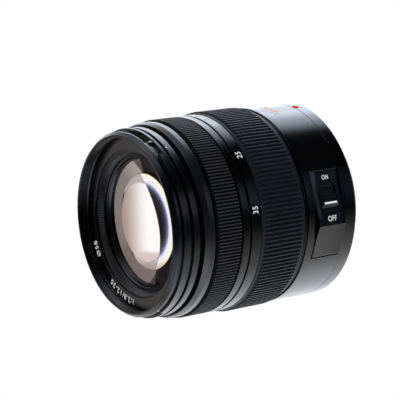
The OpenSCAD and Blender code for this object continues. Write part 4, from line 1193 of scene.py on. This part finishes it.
def studio_world():
    """White behind and below, a cloth at the front left, a pale wall far right, the rest dim.

    Diffuse rays get an even fill instead, and soft glows are added that only gloss sees.
    """
    world = bpy.data.worlds.new("studio")
    scene.world = world
    world.use_nodes = True
    tree = world.node_tree
    background = tree.nodes["Background"]
    path = tree.nodes.new("ShaderNodeLightPath")
    glossy = path.outputs["Is Glossy Ray"]
    room = blended(tree, towards(tree, *SIDE_WALL), ROOM_TONE, WALL_TONE)
    inside = joined(tree, "MULTIPLY", towards(tree, *CLOTH_NEAR), towards(tree, *CLOTH_FAR))
    cloth = blended(tree, towards(tree, *CLOTH_BRIGHT), CLOTH_BEIGE, CLOTH_WHITE)
    cloth = blended(tree, towards(tree, *CLOTH_LOW), cloth, CLOTH_HEM)
    cloth = blended(tree, towards(tree, *CLOTH_INNER), CLOTH_EDGE, cloth)
    cloth = blended(tree, towards(tree, *CLOTH_TOP), cloth, CLOTH_SHADE)
    room = blended(tree, inside, room, cloth)
    room = blended(tree, path.outputs["Is Diffuse Ray"], room, FILL)
    table = joined(tree, "MULTIPLY", towards(tree, *TABLE), towards(tree, *TABLE_BACK))
    white = joined(tree, "MAXIMUM", towards(tree, *BACKDROP), table)
    mirrored = joined(tree, "MAXIMUM", glossy, path.outputs["Is Transmission Ray"])
    shown = joined(tree, "MULTIPLY", mirrored, white)
    shown = joined(tree, "MAXIMUM", shown, path.outputs["Is Camera Ray"])
    room = blended(tree, shown, room, WHITE)
    low_shine = joined(tree, "MULTIPLY", towards(tree, *LOW_GLOW), glossy)
    room = blended(tree, low_shine, room, LOW_SHINE)
    tree.links.new(room, background.inputs["Color"])
    glow = 0.0
    for *area, strength in GLOWS:
        shine = joined(tree, "MULTIPLY", towards(tree, *area), strength)
        glow = joined(tree, "ADD", glow, shine)
    lamps = tree.nodes.new("ShaderNodeBackground")
    lamps.inputs["Color"].default_value = (*GLOW_TINT, 1)
    both = tree.nodes.new("ShaderNodeAddShader")
    tree.links.new(joined(tree, "MULTIPLY", glow, glossy), lamps.inputs["Strength"])
    tree.links.new(background.outputs["Background"], both.inputs[0])
    tree.links.new(lamps.outputs["Background"], both.inputs[1])
    tree.links.new(both.outputs["Shader"], tree.nodes["World Output"].inputs["Surface"])


LENS_MIDDLE = Vector((0, -0.037, 0))
BOX_RADIANCE = 0.4
BOX_TINT = (0.8, 0.87, 1.0)


def softbox(name, place, width, height):
    """A soft lamp whose face has a plain brightness, hidden from the camera itself."""
    lamp = bpy.data.lights.new(name, "AREA")
    lamp.shape = "RECTANGLE"
    lamp.size = width
    lamp.size_y = height
    lamp.energy = BOX_RADIANCE * math.pi * width * height
    lamp.color = BOX_TINT
    holder = linked(name, lamp)
    holder.location = place
    holder.rotation_euler = (LENS_MIDDLE - Vector(place)).to_track_quat("-Z", "Y").to_euler()
    holder.visible_camera = False


studio_floor()
studio_world()
softbox("back_box", (-0.62, 0.42, 0.36), 0.9, 0.5)
softbox("side_box", (0.29, 0.1, 0.15), 0.1, 0.14)

CAMERA_AT = Vector((0.4222, -0.3363, 0.1220))
CAMERA_LOOK = Vector((-0.8011, 0.5555, -0.2229))
CAMERA_LENS = 142.04
camera_data = bpy.data.cameras.new("camera")
camera_data.lens = CAMERA_LENS
camera_data.sensor_width = 36.0
camera_data.clip_start = 0.01
camera = linked("camera", camera_data)
camera.location = CAMERA_AT
camera.rotation_mode = "QUATERNION"
camera.rotation_quaternion = CAMERA_LOOK.to_track_quat("-Z", "Y")
scene.camera = camera
